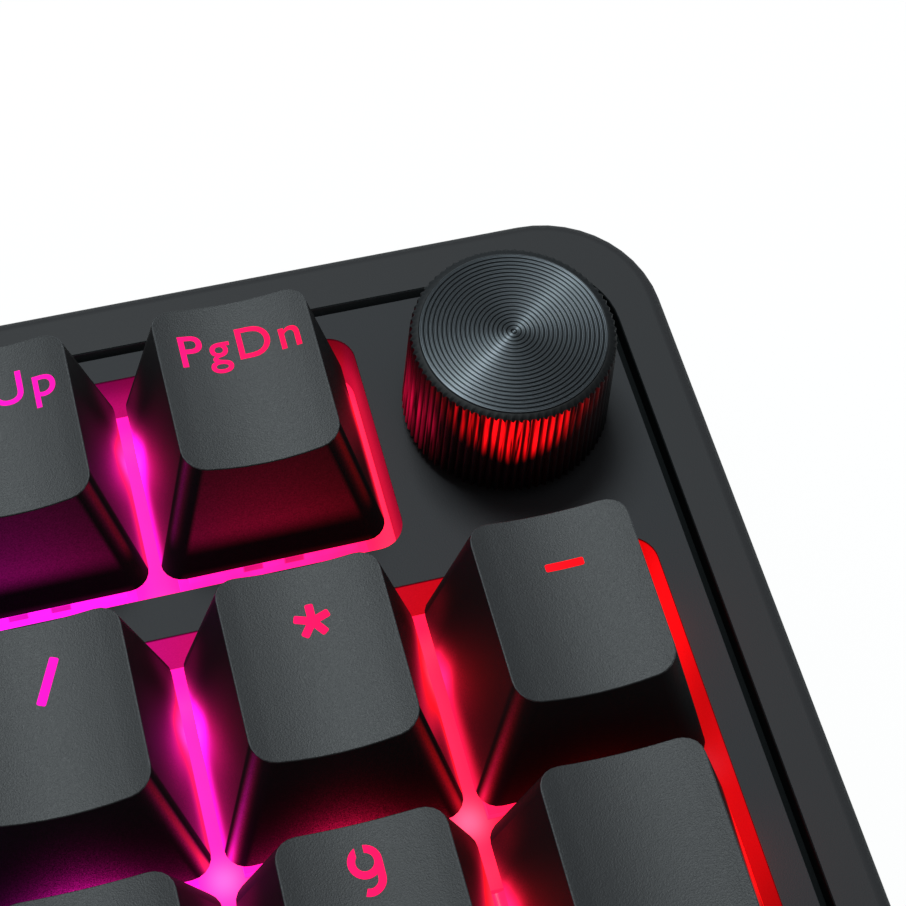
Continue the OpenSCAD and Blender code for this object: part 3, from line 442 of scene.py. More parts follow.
def cap_side_paint():
    """The sides of a cap: near black, with the lamps' light painted on by place in the cell."""
    paint = Paint("cap_side", Specular_IOR_Level=0.05)
    x, y, z = paint.place()
    nx, ny, nz = paint.facing()
    u, v, h = paint.attribute("cell_place")
    half_w, half_d, is_function = paint.attribute("cell_size")
    flat = length(nx, ny).max(0.001)
    cx = nx / flat
    cy = ny / flat
    across = abs(cx)
    along = abs(cy)
    grain = paint.noise(7.5, 2, 0.75)
    speckle = paint.noise(13, 1)
    to_left = paint.step(cx, 0.05, -0.05)
    to_right = 1 - to_left

    # Beside the lamp a hot core whose tail runs up and forward, and a band along the foot
    behind = v - (half_d - HALF_CAP)
    foot = bell(h, 1.45) * paint.step(behind, 4.7, 3.5) * 0.9
    near = (behind - 1.9) / 1.15
    core = (-(near * near) - (h * h) / 3.2).exp() * 3.0
    off = (behind - 3.0 + 0.82 * h) / 2.5
    red_end = paint.step(x, 150, 161)
    tail = (-(off * off) - h / (1.75 - 0.45 * red_end * to_left)).exp() * 2.8
    haze = (-h / 2.8).exp() * paint.step(behind, 4.5, -0.5) * 0.48
    lift = h - 2.5
    patch = paint.step(behind, 4.5, 7.0) * bell(lift, 5.0) * 0.05
    strong = core + tail
    on_left = strong * (1 - 0.55 * red_end) + haze * (1 - 0.78 * red_end) + patch
    long_tail = (-(off * off) - h / 8.0).exp() * 1.6
    on_right = strong * (1 + 0.2 * red_end) + haze + patch + long_tail * red_end
    on_right = on_right * (1 - 0.94 * is_function * red_end)
    side = paint.step(along, 0.14, 0.03) * (to_left * on_left + to_right * on_right + foot)

    # Fronts: the function row's face the open slit, the others the next row's caps
    facing_front = paint.step(cy, -0.2, -0.6)
    front = paint.step(across, 0.3, 0.06) * facing_front
    aside = u + 1.5
    slit = paint.step(h, 2.2, 4.3) * (-(h - 4.7).max(0) / 4.8 - aside * aside / 90.0).exp() * 0.118
    slit = slit + paint.step(h, 0.7, 0.0) * 0.024
    centre = u + 0.4
    low = (-h / 1.35).exp() * (0.09 + 1.4 * bell(centre, 10.5))
    low = low * (1 - 0.93 * paint.step(x, 161, 164))
    front_glow = slit * is_function + low * (4 * speckle - 1).max(0) * (1 - is_function)

    # Front corners: one bright upright streak each
    left_streak = paint.band(along, (0.15, 0.48), (0.97, 0.52)) * paint.step(along, 0.97, 0.52)
    left_streak = left_streak * (1 - 0.35 * paint.step(x, 158, 163))
    right_streak = paint.band(along, (0.42, 0.66), (1.0, 0.68)) * paint.step(along, 1.0, 0.68)
    right_streak = right_streak * (1 - 0.85 * paint.step(x, 158, 162)) * (1 - paint.step(x, 176, 178))
    rise = (-h / 4.1).exp() * 1.15 + bell(h, 2.2) * 0.6
    rise = rise * (1 - is_function) + 0.075 * paint.step(h, 2.4, 4.6) * is_function
    corner = (left_streak * to_left + right_streak * to_right) * facing_front

    rear = paint.step(across, 0.3, 0.06) * paint.step(cy, 0.2, 0.6) * (-h / 2.0).exp() * 0.25
    glow = side + front * front_glow + corner * rise + rear
    hot = paint.step(side, 0.3, 1.2)
    shift = hot * (10 * to_right - (12 - 7 * red_end) * to_left) + 3 * facing_front + 15 * corner * cx
    color = light_color(paint, x + shift)
    dim = paint.step(glow, 0.5, 0.08)
    paint.base((0.0095, 0.0098, 0.0105), 0.6 + 0.8 * grain)
    paint.set("Roughness", 0.5 + 0.15 * grain)
    paint.lit(paint.tint(color, glow * (1 + (grain - 0.5) * (0.3 + 1.5 * dim))))
    paint.bump(grain, 0.010)
    return paint


def legend_paint():
    """Clear plastic that shows through a cap's top, with the light from below painted on as glow."""
    paint = Paint("lit_legend", Specular_IOR_Level=0.0, Roughness=0.5)
    x, y, z = paint.place()
    haze = paint.noise(0.5, 2)
    paint.base((0.004, 0.002, 0.002), 0.6 + 0.8 * haze)
    paint.lit(paint.tint(light_color(paint, x), 1.3 + 0.2 * haze))
    return paint


def knob_paint():
    """Black knob: the light of the wells in front and to the left painted on its ribs as glow, with painted
    shade towards its foot and its lip painted lighter at the back than at the front.
    """
    paint = Paint("ribbed_black", Specular_IOR_Level=0.15)
    x, y, z = paint.place()
    fine = paint.noise(9, 1)
    streak = paint.noise(2.3, 2, 0.6, stretch=(1, 1, 0.05))
    px, py, radius = from_knob(x, y)
    radius = radius.max(0.01)
    turn = paint.math("ARCTAN2", py, px) * (180 / math.pi)
    tip = paint.step(radius - (RIB_TOP - z) * RIB_FLARE, KNOB_ROOT + 0.06, KNOB_TIP - 0.04)
    ribs = paint.step(paint.facing()[2], 0.5, 0.25)
    ahead = turn + 104
    reach = 23.6 + abs(ahead) * 0.055
    front = bell(ahead, 700.0) * paint.step(z - reach, 0.0, 3.6) * 1.5
    beside = paint.step(turn, 150, 178) + paint.step(turn, -140, -160)
    height = z - 23.6 - (turn + 180).min(60).max(0) * 0.045 * paint.step(turn, 0, -90)
    left = beside * bell(height, 9.0) * 0.25
    glow = (0.05 + 0.95 * tip) * ribs * ((streak - 0.36).max(0) * 6.5)
    light = paint.add(paint.tint((1, 0.002, 0.004), front), paint.tint((1, 0.004, 0.07), left))
    # Painted shade low on the knob, and the lip painted lighter at the back and darker at the front
    foot = paint.step(z, Z_KNOB_BASE, Z_KNOB_BASE + 7)
    shade = (0.8 + 0.4 * fine) * (0.15 + 0.85 * foot) * (1 + 0.7 * (1 - ribs) * py / radius)
    paint.base((0.0115, 0.0128, 0.0142), shade)
    paint.set("Roughness", 0.45 + 0.1 * fine)
    paint.lit(paint.tint(light, glow))
    paint.bump(fine, 0.006)
    return paint


def disc_paint():
    """Dark anodised metal with fine turning marks, with a painted highlight along one diameter and painted shade
    in the grooves.
    """
    paint = Paint("turned_disc", Metallic=1.0)
    x, y, z = paint.place()
    px, py, radius = from_knob(x, y)
    marks = (radius * (math.tau / 0.12)).cos()
    fine = paint.noise(10, 1)
    groove = paint.step(z, Z_KNOB - GROOVE_DEPTH, Z_KNOB - 0.01)
    across = (0.81 * py - 0.588 * px) / radius.max(0.1)
    ahead = (0.81 * px + 0.588 * py) / radius.max(0.1)
    painted_highlight = bell(across, 0.16) * 0.12 + bell(across, 0.025) * 0.16
    # Painted highlight along one diameter, stronger at one end, and painted shade in the grooves
    shade = (0.25 + painted_highlight * (0.86 - 0.38 * ahead)) * (0.28 + 0.72 * groove) * (0.9 + 0.2 * fine)
    paint.base((0.195, 0.218, 0.24), shade)
    paint.set("Roughness", 0.3 + 0.06 * fine)
    paint.bump(marks, 0.006)
    return paint


# ---- mesh helpers


def new_verts(result):
    """The points among what a bmesh operator made."""
    return [item for item in result["geom"] if isinstance(item, bmesh.types.BMVert)]


def cut(bm, geometry, at, normal):
    """Adds edges where a plane crosses the given geometry."""
    bmesh.ops.bisect_plane(bm, geom=geometry, dist=0.0005, plane_co=at, plane_no=normal)


def flat_bar(bm, long, thick):
    """A flat rectangle about the origin."""
    made = bmesh.ops.create_grid(bm, x_segments=1, y_segments=1, size=0.5)["verts"]
    bmesh.ops.scale(bm, vec=(long, thick, 1), verts=made)
    return made


def move(bm, verts, vec):
    bmesh.ops.translate(bm, vec=vec, verts=verts)


def turn_flat(bm, verts, degrees):
    bmesh.ops.rotate(bm, cent=(0, 0, 0), matrix=Matrix.Rotation(math.radians(degrees), 3, "Z"), verts=verts)


def finish_mesh(bm, name, sharp=35.0):
    """Turns a bmesh in millimetres into a mesh in metres, smooth but for edges over the sharp angle."""
    bmesh.ops.scale(bm, vec=(MM, MM, MM), verts=bm.verts)
    for face in bm.faces:
        face.smooth = True
    limit = math.radians(sharp)
    for edge in bm.edges:
        if len(edge.link_faces) == 2 and edge.calc_face_angle(0) > limit:
            edge.smooth = False
    mesh = bpy.data.meshes.new(name)
    bm.to_mesh(mesh)
    bm.free()
    return mesh


def piece(bm, name, body, paints, replaced=(), sharp=35.0, weighted=True):
    """A finished piece of the object, with its materials, its body and the CAD nodes it stands for."""
    mesh = finish_mesh(bm, name, sharp)
    obj = bpy.data.objects.new(name, mesh)
    bpy.context.scene.collection.objects.link(obj)
    for paint in paints:
        mesh.materials.append(paint.mat)
    if weighted:
        normals = obj.modifiers.new("even_shading", "WEIGHTED_NORMAL")
        normals.keep_sharp = True
    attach(obj, body)
    for node in replaced:
        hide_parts(node)
    return obj


def edges_between(bm, test_a, test_b):
    """Edges with one face that passes test_a and one that passes test_b."""
    found = []
    for edge in bm.edges:
        faces = edge.link_faces
        if len(faces) == 2:
            if (test_a(faces[0]) and test_b(faces[1])) or (test_a(faces[1]) and test_b(faces[0])):
                found.append(edge)
    return found


def round_edges(bm, edges, width, segments):
    bmesh.ops.bevel(
        bm, geom=edges, offset=width, offset_type="OFFSET", affect="EDGES", segments=segments, profile=0.5,
        material=-1, clamp_overlap=True,
    )


# ---- keycaps

# Heights and the lean of the faces by row; 2.5 and 4.5 are the two tall keys
REAR_HEIGHT = {0: 11.24, 1: 11.24, 2: 9.44, 2.5: 9.5, 3: 8.9, 4: 8.4, 4.5: 8.6, 5: 8.8}
FRONT_HEIGHT = {0: 11.14, 1: 11.14, 2: 9.0, 2.5: 8.8, 3: 8.6, 4: 9.6, 4.5: 9.8, 5: 10.0}
REAR_LEAN = {0: 0.34, 1: 0.34, 2: 0.84, 2.5: 0.25, 3: 1.5, 4: 2.2, 4.5: 2.3, 5: 2.4}
FRONT_LEAN = {0: 3.24, 1: 3.24, 2: 3.07, 2.5: 2.985, 3: 2.9, 4: 2.5, 4.5: 2.3, 5: 2.1}
SIDE_LEAN = 2.96
DISH = 0.9
CAP_WALL = 1.4
CAP_ROOF = 2.4
CORNER_ROUND = 1.65
RIM_ROUND = 0.34
MID_HEIGHT = 4
WIDEST_DISHED = 3
TOP, SIDE = 0, 1


def top_height(y, depth, row):
    """Height of a cap's top over its base at y, before the dish."""
    front_y = -depth / 2 + FRONT_LEAN[row]
    rear_y = depth / 2 - REAR_LEAN[row]
    share = (y - front_y) / (rear_y - front_y)
    return FRONT_HEIGHT[row] + (REAR_HEIGHT[row] - FRONT_HEIGHT[row]) * share


def dish_drop(x, wide):
    """How far the dish of a cap of this width lies under its rim at x."""
    half = wide / 2 - SIDE_LEAN
    return DISH * max(0.0, 1 - (x / half) ** 2)


def hollow_top(bm, dish_width, row):
    """Cuts a cap's top from front to rear and lets the points down into the dish, along the leaning faces."""
    bm.normal_update()
    top = max(bm.faces, key=lambda f: f.normal.z)
    front = sorted((v.co.copy() for v in top.verts if v.co.y < 0), key=lambda co: co.x)
    rear = sorted((v.co.copy() for v in top.verts if v.co.y > 0), key=lambda co: co.x)
    lines = list(zip(front, rear))[1:-1]
    half = dish_width / 2 - SIDE_LEAN
    for share in (-0.49, -0.25, 0, 0.25, 0.49):
        lines.append((Vector((share * half, -1, 0)), Vector((share * half, 1, 0))))
    for start, end in lines:
        bm.normal_update()
        tops = [f for f in bm.faces if f.normal.z > 0.8]
        touching = list(dict.fromkeys(item for f in tops for item in (*f.edges, *f.verts)))
        along = end - start
        cut(bm, tops + touching, start, Vector((along.y, -along.x, 0)).normalized())
    front_slope = -FRONT_LEAN[row] / FRONT_HEIGHT[row]
    rear_slope = REAR_LEAN[row] / REAR_HEIGHT[row]
    for vert in bm.verts:
        if vert.co.z > MID_HEIGHT:
            drop = dish_drop(vert.co.x, dish_width)
            vert.co.y += drop * (front_slope if vert.co.y < 0 else rear_slope)
            vert.co.z -= drop


def cap_mesh(outline, depth, row, dish_width=0.0):
    """A hollow cap over an outline of corners (x, y, inward x, inward y), with a dish if a width is given."""
    bm = bmesh.new()
    base = [bm.verts.new((x, y, 0)) for x, y, dx, dy in outline]
    bottom = bm.faces.new(base)
    high = max(REAR_HEIGHT[row], FRONT_HEIGHT[row])
    for vert in new_verts(bmesh.ops.extrude_face_region(bm, geom=[bottom])):
        x, y, dx, dy = min(outline, key=lambda p: (p[0] - vert.co.x) ** 2 + (p[1] - vert.co.y) ** 2)
        lean_y = REAR_LEAN[row] if dy < 0 else FRONT_LEAN[row]
        new_y = y + dy * lean_y
        tall = top_height(new_y, depth, row)
        vert.co = (x + dx * SIDE_LEAN * tall / high, new_y, tall)
    bmesh.ops.recalc_face_normals(bm, faces=bm.faces)
    upright = [e for e in bm.edges if abs(e.verts[0].co.z - e.verts[1].co.z) > MID_HEIGHT]
    round_edges(bm, upright, CORNER_ROUND, 5)
    if dish_width:
        hollow_top(bm, dish_width, row)
    bm.normal_update()
    rim = edges_between(bm, lambda f: f.normal.z > 0.8, lambda f: abs(f.normal.z) < 0.6)
    round_edges(bm, rim, RIM_ROUND, 3)
    bm.normal_update()
    lower = [f for f in bm.faces if f.normal.z < -0.9]
    bmesh.ops.inset_region(bm, faces=lower, thickness=CAP_WALL, use_even_offset=True)
    lower = [f for f in bm.faces if f.normal.z < -0.9]
    inner = [f for f in lower if all(is_inside(v.co, outline) for v in f.verts)]
    verts = new_verts(bmesh.ops.extrude_face_region(bm, geom=inner))
    bmesh.ops.delete(bm, geom=inner, context="FACES_ONLY")
    roof = min(REAR_HEIGHT[row], FRONT_HEIGHT[row]) - CAP_ROOF - DISH
    share = roof / high
    for vert in verts:
        lean_y = REAR_LEAN[row] if vert.co.y > 0 else FRONT_LEAN[row]
        vert.co.z = roof
        vert.co.x -= math.copysign(SIDE_LEAN * share, vert.co.x)
        vert.co.y -= math.copysign(lean_y * share, vert.co.y)
    bm.normal_update()
    for face in bm.faces:
        face.material_index = TOP if face.normal.z > 0.35 and face.calc_center_median().z > 6 else SIDE
    return bm


def is_inside(point, outline):
    """True where a point lies more than half a wall inside the outline's box."""
    xs = [p[0] for p in outline]
    ys = [p[1] for p in outline]
    reach = CAP_WALL * 0.6
    return min(xs) + reach < point.x < max(xs) - reach and min(ys) + reach < point.y < max(ys) - reach


def plain_cap(wide, deep, row):
    """A rectangular cap of wide by deep key units."""
    w = wide * PITCH - CAP_GAP
    d = deep * PITCH - CAP_GAP
    outline = [(-w / 2, -d / 2, 1, 1), (w / 2, -d / 2, -1, 1), (w / 2, d / 2, -1, -1), (-w / 2, d / 2, 1, -1)]
    return cap_mesh(outline, d, row, w if wide < WIDEST_DISHED else 0.0), (w / 2, d / 2)


def enter_cap(row):
    """The bent enter cap: a tall block whose upper half is wider to the left."""
    w = 1.25 * PITCH - CAP_GAP
    d = 2 * PITCH - CAP_GAP
    wing = 0.25 * PITCH
    step_y = d / 2 - (PITCH - CAP_GAP)
    outline = [
        (-w / 2, -d / 2, 1, 1),
        (w / 2, -d / 2, -1, 1),
        (w / 2, d / 2, -1, -1),
        (-w / 2 - wing, d / 2, 1, -1),
        (-w / 2 - wing, step_y, 1, 1),
        (-w / 2, step_y, 1, 1),
    ]
    return cap_mesh(outline, d, row), (w / 2, d / 2)


cap_cache = {}


def add_cap(target, key):
    """Adds one cap at its key to the bmesh of its node; each point keeps its place in the cell."""
    left, wide, row, deep = key
    shape = "enter" if key == ENTER else (wide, deep, row)
    if shape not in cap_cache:
        bm, halves = enter_cap(row) if shape == "enter" else plain_cap(wide, deep, row)
        cell_place = bm.verts.layers.float_vector.new("cell_place")
        cell_size = bm.verts.layers.float_vector.new("cell_size")
        for vert in bm.verts:
            vert[cell_place] = vert.co.copy()
            vert[cell_size] = Vector((halves[0], halves[1], 1.0 if row == 0 else 0.0))
        mesh = bpy.data.meshes.new("cap_shape")
        bm.to_mesh(mesh)
        bm.free()
        cap_cache[shape] = mesh
    first = len(target.verts)
    target.from_mesh(cap_cache[shape])
    target.verts.ensure_lookup_table()
    place = Vector((key_x(left, wide), row_y(row), Z_CAP))
    move(target, target.verts[first:], place)


# Keys as (left edge, width, row, depth) in key units, with their legends
ENTER = (13.75, 1.25, 2.5, 2)


def row_keys(start, row, words):
    return [((start + i, 1, row, 1), word) for i, word in enumerate(words)]


function_keys = [((0, 1, 0, 1), "Esc")]
for count in range(12):
    function_keys.append(((1.25 + 4.25 * (count // 4) + count % 4, 1, 0, 1), "F%d" % (count + 1)))
function_keys += [((14, 1, 0, 1), "Ins"), ((15, 1, 0, 1), "Home")]
number_keys = row_keys(0, 1, ["`", "1", "2", "3", "4", "5", "6", "7", "8", "9", "0", "-", "="])
number_keys += [((13, 2, 1, 1), "⌫"), ((15, 1, 1, 1), "Num")]
upper_keys = [((0, 1.5, 2, 1), "Tab")] + row_keys(1.5, 2, list("QWERTYUIOP[]"))
home_keys = [((0, 1.75, 3, 1), "Caps")] + row_keys(1.75, 3, list("ASDFGHJKL;'#")) + [(ENTER, "↵")]
lower_keys = [((0, 1.25, 4, 1), "⇧"), ((1.25, 1, 4, 1), "\\")]
lower_keys += row_keys(2.25, 4, list("ZXCVBNM,./")) + [((12.25, 1.75, 4, 1), "⇧"), ((14, 1, 4, 1), "↑")]
bottom_keys = [((0, 1.25, 5, 1), "Ctrl"), ((1.25, 1.25, 5, 1), "Menu"), ((2.5, 1.25, 5, 1), "Alt")]
bottom_keys += row_keys(10, 5, ["Alt", "Fn", "Ctrl", "←", "↓", "→"]) + [((3.75, 6.25, 5, 1), "")]
pad_keys = [((15, 1, 2, 1), "7")]
pad_keys += row_keys(15, 3, ["4", "5", "6"]) + row_keys(15, 4, ["1", "2", "3"]) + row_keys(16, 5, ["0", "."])
pad_keys += [((18, 1, 4.5, 2), "↵")]

# The keys that share a CAD node and a joint, then the keys of their own.
# KEY_SETS holds for each the CAD node of its caps, its body, and its keys.
ROWS = {
    "function_row": function_keys,
    "number_row": number_keys,
    "upper_letter": upper_keys,
    "home_row": home_keys,
    "lower_letter": lower_keys,
    "bottom_row": bottom_keys,
    "numpad": pad_keys,
}
KEY_SETS = {name: (name + "_caps", name + "_keys", keys) for name, keys in ROWS.items()}
for name, left, row, deep, text in (
    ("page_up", 16, 0, 1, "PgUp"),
    ("page_down", 17, 0, 1, "PgDn"),
    ("numpad_divide", 16, 1, 1, "/"),
    ("numpad_multiply", 17, 1, 1, "*"),
    ("numpad_minus", 18, 1, 1, "-"),
    ("numpad_8", 16, 2, 1, "8"),
    ("numpad_9", 17, 2, 1, "9"),
    ("numpad_plus", 18, 2.5, 2, "+"),
):
    KEY_SETS[name] = (name + "_cap", name + "_key", [((left, 1, row, deep), text)])

# ---- legends

# Places of the legends' middles from the key's centre
SIGN_AT = {"-": (0.38, 4.3), "*": (0.38, 4.3), "/": (0.28, 4.07), "+": (0.3, 3.0)}
LETTER_AT = (-0.1, 4.85)
WORD_AT = (0.3, 4.3)
PLUS_SHIFT = -3.0
# Letter heights for one letter, up to three, and more; widening, thicker strokes and spacing
LETTER, SHORT_WORD, LONG_WORD = 5.0, 4.3, 4.05
LETTER_WIDTH = 1.17
LETTER_THICKEN, WORD_THICKEN = 0.075, 0.025
WORD_SPACING = 1.16
ROUND_LETTERS = "DOPQR0689"
STENCIL_GAP = 0.6
STENCIL_AT = (-0.2, 0.6)
STROKE = 0.62
STROKE_ROUND = 0.14
# How far a legend stands over the cap's top and reaches into it, and the spacing of its cuts
LEGEND_UP, LEGEND_DOWN = 0.035, -0.06
LEGEND_CUT = 0.6
# The six and nine: the bowl's radius, the stroke, and how far the bowl is off the middle
BOWL_RADIUS, BOWL_STROKE, BOWL_LIFT = 0.94, 0.56, 0.67
HOOK_TURN, HOOK_UP, TURN_STEP = -112, 0.08, 12


def drawn_nine(upside_down):
    """The digit nine, or turned over the six: a round bowl, an upright and a hooked end."""
    bm = bmesh.new()
    for angle, y in ((360, BOWL_LIFT), (HOOK_TURN, HOOK_UP - BOWL_LIFT)):
        ends = [bm.verts.new((BOWL_RADIUS + side * BOWL_STROKE / 2, 0, 0)) for side in (-1, 1)]
        edge = bm.edges.new(ends)
        bmesh.ops.spin(
            bm, geom=ends + [edge], cent=(0, 0, 0), axis=(0, 0, 1), angle=math.radians(angle),
            steps=abs(angle) // TURN_STEP, use_merge=angle == 360,
        )
        made = [v for v in bm.verts if not v.tag]
        move(bm, made, (0, y, 0))
        for vert in made:
            vert.tag = True
    upright = flat_bar(bm, BOWL_STROKE, 2 * BOWL_LIFT - HOOK_UP)
    move(bm, upright, (BOWL_RADIUS, HOOK_UP / 2, 0))
    if upside_down:
        turn_flat(bm, bm.verts, 180)
    return bm


def glyph_outline(text, size):
    """The text as a flat bmesh in millimetres, thickened but for an M, whose strokes would cross."""
    curve = bpy.data.curves.new("words", "FONT")
    curve.body = text
    curve.size = size
    curve.resolution_u = 6
    curve.space_character = 1.1 if len(text) == 1 else WORD_SPACING
    if "M" not in text:
        curve.offset = LETTER_THICKEN if len(text) == 1 else WORD_THICKEN
    obj = bpy.data.objects.new("words", curve)
    bpy.context.scene.collection.objects.link(obj)
    graph = bpy.context.evaluated_depsgraph_get()
    mesh = bpy.data.meshes.new_from_object(obj.evaluated_get(graph))
    bm = bmesh.new()
    bm.from_mesh(mesh)
    bpy.data.objects.remove(obj)
    bpy.data.curves.remove(curve)
    bpy.data.meshes.remove(mesh)
    bmesh.ops.remove_doubles(bm, verts=bm.verts, dist=0.001)
    return bm


def drawn_sign(text):
    """Bars for the signs, as the pad shows them: plain strokes with soft ends."""
    bars = {
        "-": [(0, 2.95, STROKE, 0)],
        "/": [(0, 3.75, 0.68, 66)],
        "+": [(0, 3.0, STROKE, 0), (0, 3.0, STROKE, 90)],
        "*": [(0.62, 1.5, STROKE, turn) for turn in (90, 162, 234, 306, 18)],
    }[text]
    bm = bmesh.new()
    for out, long, thick, turn in bars:
        made = flat_bar(bm, long, thick)
        move(bm, made, (out, 0, 0))
        turn_flat(bm, made, turn)
        bmesh.ops.bevel(
            bm, geom=made, offset=STROKE_ROUND, offset_type="OFFSET", affect="VERTICES", segments=3, profile=0.5,
            material=-1,
        )
    return bm


def legend(key, text):
    """A legend as a thin solid that follows the cap's top."""
    left, wide, row, deep = key
    is_sign = row <= 2.5 and left >= 16 and text in "-/*+"
    is_letter = len(text) == 1 and not is_sign
    if text in ("6", "9"):
        bm = drawn_nine(text == "6")
    elif is_sign:
        bm = drawn_sign(text)
    else:
        bm = glyph_outline(text, LETTER if len(text) == 1 else (SHORT_WORD if len(text) < 4 else LONG_WORD))
        if is_letter:
            bmesh.ops.scale(bm, vec=(LETTER_WIDTH, 1, 1), verts=bm.verts)
    xs = [v.co.x for v in bm.verts]
    ys = [v.co.y for v in bm.verts]
    middle = Vector(((min(xs) + max(xs)) / 2, (min(ys) + max(ys)) / 2, 0))
    at = SIGN_AT[text] if is_sign else (LETTER_AT if is_letter else WORD_AT)
    depth = deep * PITCH - CAP_GAP
    width = wide * PITCH - CAP_GAP
    shift_y = PLUS_SHIFT if is_sign and text == "+" else depth / 2 - HALF_CAP
    move(bm, bm.verts, Vector((at[0], at[1] + shift_y, 0)) - middle)
    if is_letter and text in ROUND_LETTERS:
        stencil_gap(bm, at[0] + STENCIL_AT[0], at[1] + shift_y + STENCIL_AT[1])
    for count in range(-8, 9):
        cut(bm, bm.verts[:] + bm.edges[:] + bm.faces[:], (count * LEGEND_CUT, 0, 0), (1, 0, 0))
    bmesh.ops.recalc_face_normals(bm, faces=bm.faces)
    if sum(f.normal.z * f.calc_area() for f in bm.faces) < 0:
        bmesh.ops.reverse_faces(bm, faces=bm.faces)
    upper = set(new_verts(bmesh.ops.extrude_face_region(bm, geom=bm.faces[:])))
    dished = wide < WIDEST_DISHED and key != ENTER
    for vert in bm.verts:
        drop = dish_drop(vert.co.x, width) if dished else 0.0
        tall = top_height(vert.co.y, depth, row) - drop
        vert.co.z = tall + (LEGEND_UP if vert in upper else LEGEND_DOWN)
    bmesh.ops.recalc_face_normals(bm, faces=bm.faces)
    move(bm, bm.verts, (key_x(left, wide), row_y(row), Z_CAP))
    return bm


def stencil_gap(bm, x, low):
    """Opens a short upright gap in a letter above the height low, as a stencil has."""
    for place in (x - STENCIL_GAP / 2, x + STENCIL_GAP / 2):
        cut(bm, bm.verts[:] + bm.edges[:] + bm.faces[:], (place, 0, 0), (1, 0, 0))
    middles = [(f, f.calc_center_median()) for f in bm.faces]
    gone = [f for f, middle in middles if abs(middle.x - x) < STENCIL_GAP / 2 and middle.y > low]
    bmesh.ops.delete(bm, geom=gone, context="FACES")


# ---- knob

RIBS = 78
POINTS_PER_RIB = 8
KNOB_TIP = 8.16
KNOB_ROOT = 7.86
KNOB_INNER = KNOB_ROOT - 1.1
RIB_FLARE = 0.033
RIB_TOP = Z_KNOB_RIM - 0.3
RIM_INNER = 7.6
RIM_OUTER = 7.94
RIM_TRACE = 0.45
DISC_RADIUS = 7.45
DISC_EDGE = 0.06
GROOVES = 20
GROOVE_DEPTH = 0.05
GROOVE_TOP, GROOVE_FLOOR = 0.065, 0.04


def ribbed_shell():
    """The knob's body: upright ribs whose ends run out on a sloping rim, and a lip round the disc."""
    bm = bmesh.new()
    ring = bmesh.ops.create_circle(bm, segments=RIBS * POINTS_PER_RIB, radius=1.0, cap_ends=False)["verts"]

    def place(vert, z, radius):
        """Puts a point on the ribs, or on a circle; the rim's outer circle keeps a trace of the ribs."""
        angle = math.atan2(vert.co.y, vert.co.x)
        rib = 0.5 + 0.5 * math.cos(angle * RIBS)
        if radius is None:
            radius = KNOB_ROOT + (KNOB_TIP - KNOB_ROOT) * rib**0.7 + RIB_FLARE * max(0.0, RIB_TOP - z)
        if radius == RIM_OUTER:
            radius += RIM_TRACE * (KNOB_TIP - KNOB_ROOT) * rib
        vert.co = (radius * math.cos(angle), radius * math.sin(angle), z)

    def next_ring(edges, z, radius=None):
        made = bmesh.ops.extrude_edge_only(bm, edges=edges)
        for vert in new_verts(made):
            place(vert, z, radius)
        return [item for item in made["geom"] if isinstance(item, bmesh.types.BMEdge)]

    for vert in ring:
        place(vert, Z_KNOB_BASE + 0.15, None)
    edges = bm.edges[:]
    seat = DISC_RADIUS + 0.01
    profile = [(Z_KNOB_BASE + rise, None) for rise in (2.0, 4.5, 7.0)]
    profile += [(RIB_TOP - 0.5, None), (RIB_TOP, None)]
    profile += [(Z_KNOB_RIM - 0.16, RIM_OUTER), (Z_KNOB_RIM, RIM_INNER)]
    profile += [(Z_KNOB_RIM, seat), (Z_DISC + 0.2, seat)]
    up = edges
    for z, radius in profile:
        up = next_ring(up, z, radius)
    down = edges
    for z, radius in ((Z_KNOB_BASE, KNOB_TIP), (Z_KNOB_BASE, KNOB_INNER), (Z_DISC - 1.6, KNOB_INNER)):
        down = next_ring(down, z, radius)
    bmesh.ops.holes_fill(bm, edges=[e for e in bm.edges if e.is_boundary], sides=0)
    bmesh.ops.recalc_face_normals(bm, faces=bm.faces)
    move(bm, bm.verts, (KNOB_X, KNOB_Y, 0))
    return bm


def grooved_disc():
    """The disc: a profile with fine ring grooves, spun about the knob's axis."""
    step = DISC_RADIUS / (GROOVES + 0.6)
    groove = [(-GROOVE_TOP, 0), (-GROOVE_FLOOR, GROOVE_DEPTH), (GROOVE_FLOOR, GROOVE_DEPTH), (GROOVE_TOP, 0)]
    points = [(0.0, Z_KNOB)]
    for count in range(GROOVES):
        points += [((count + 0.55) * step + side, Z_KNOB - deep) for side, deep in groove]
    points += [(DISC_RADIUS - DISC_EDGE, Z_KNOB), (DISC_RADIUS, Z_KNOB - DISC_EDGE)]
    points += [(DISC_RADIUS, Z_DISC), (0.0, Z_DISC)]
    bm = bmesh.new()
    verts = [bm.verts.new((r, 0, z)) for r, z in points]
    edges = [bm.edges.new(pair) for pair in zip(verts, verts[1:])]
    bmesh.ops.spin(
        bm, geom=verts + edges, cent=(0, 0, 0), axis=(0, 0, 1), angle=math.tau, steps=144, use_merge=True,
    )
    bmesh.ops.remove_doubles(bm, verts=bm.verts, dist=0.001)
    bmesh.ops.recalc_face_normals(bm, faces=bm.faces)
    move(bm, bm.verts, (KNOB_X, KNOB_Y, 0))
    return bm


# ---- case pieces

# Half widths and half depths: of all that lies inside the frame, and of the field with the wells
FRAME_INSIDE = (185.7, 64.3)
WELL_FIELD = (182.3, 61.0)
KNOB_OPENING = 10
WELL_ROUND = 0.22
FRAME_ROUND = 0.12
SPRINGS = ["switch_springs"]
SPRING_REACH = 4.0


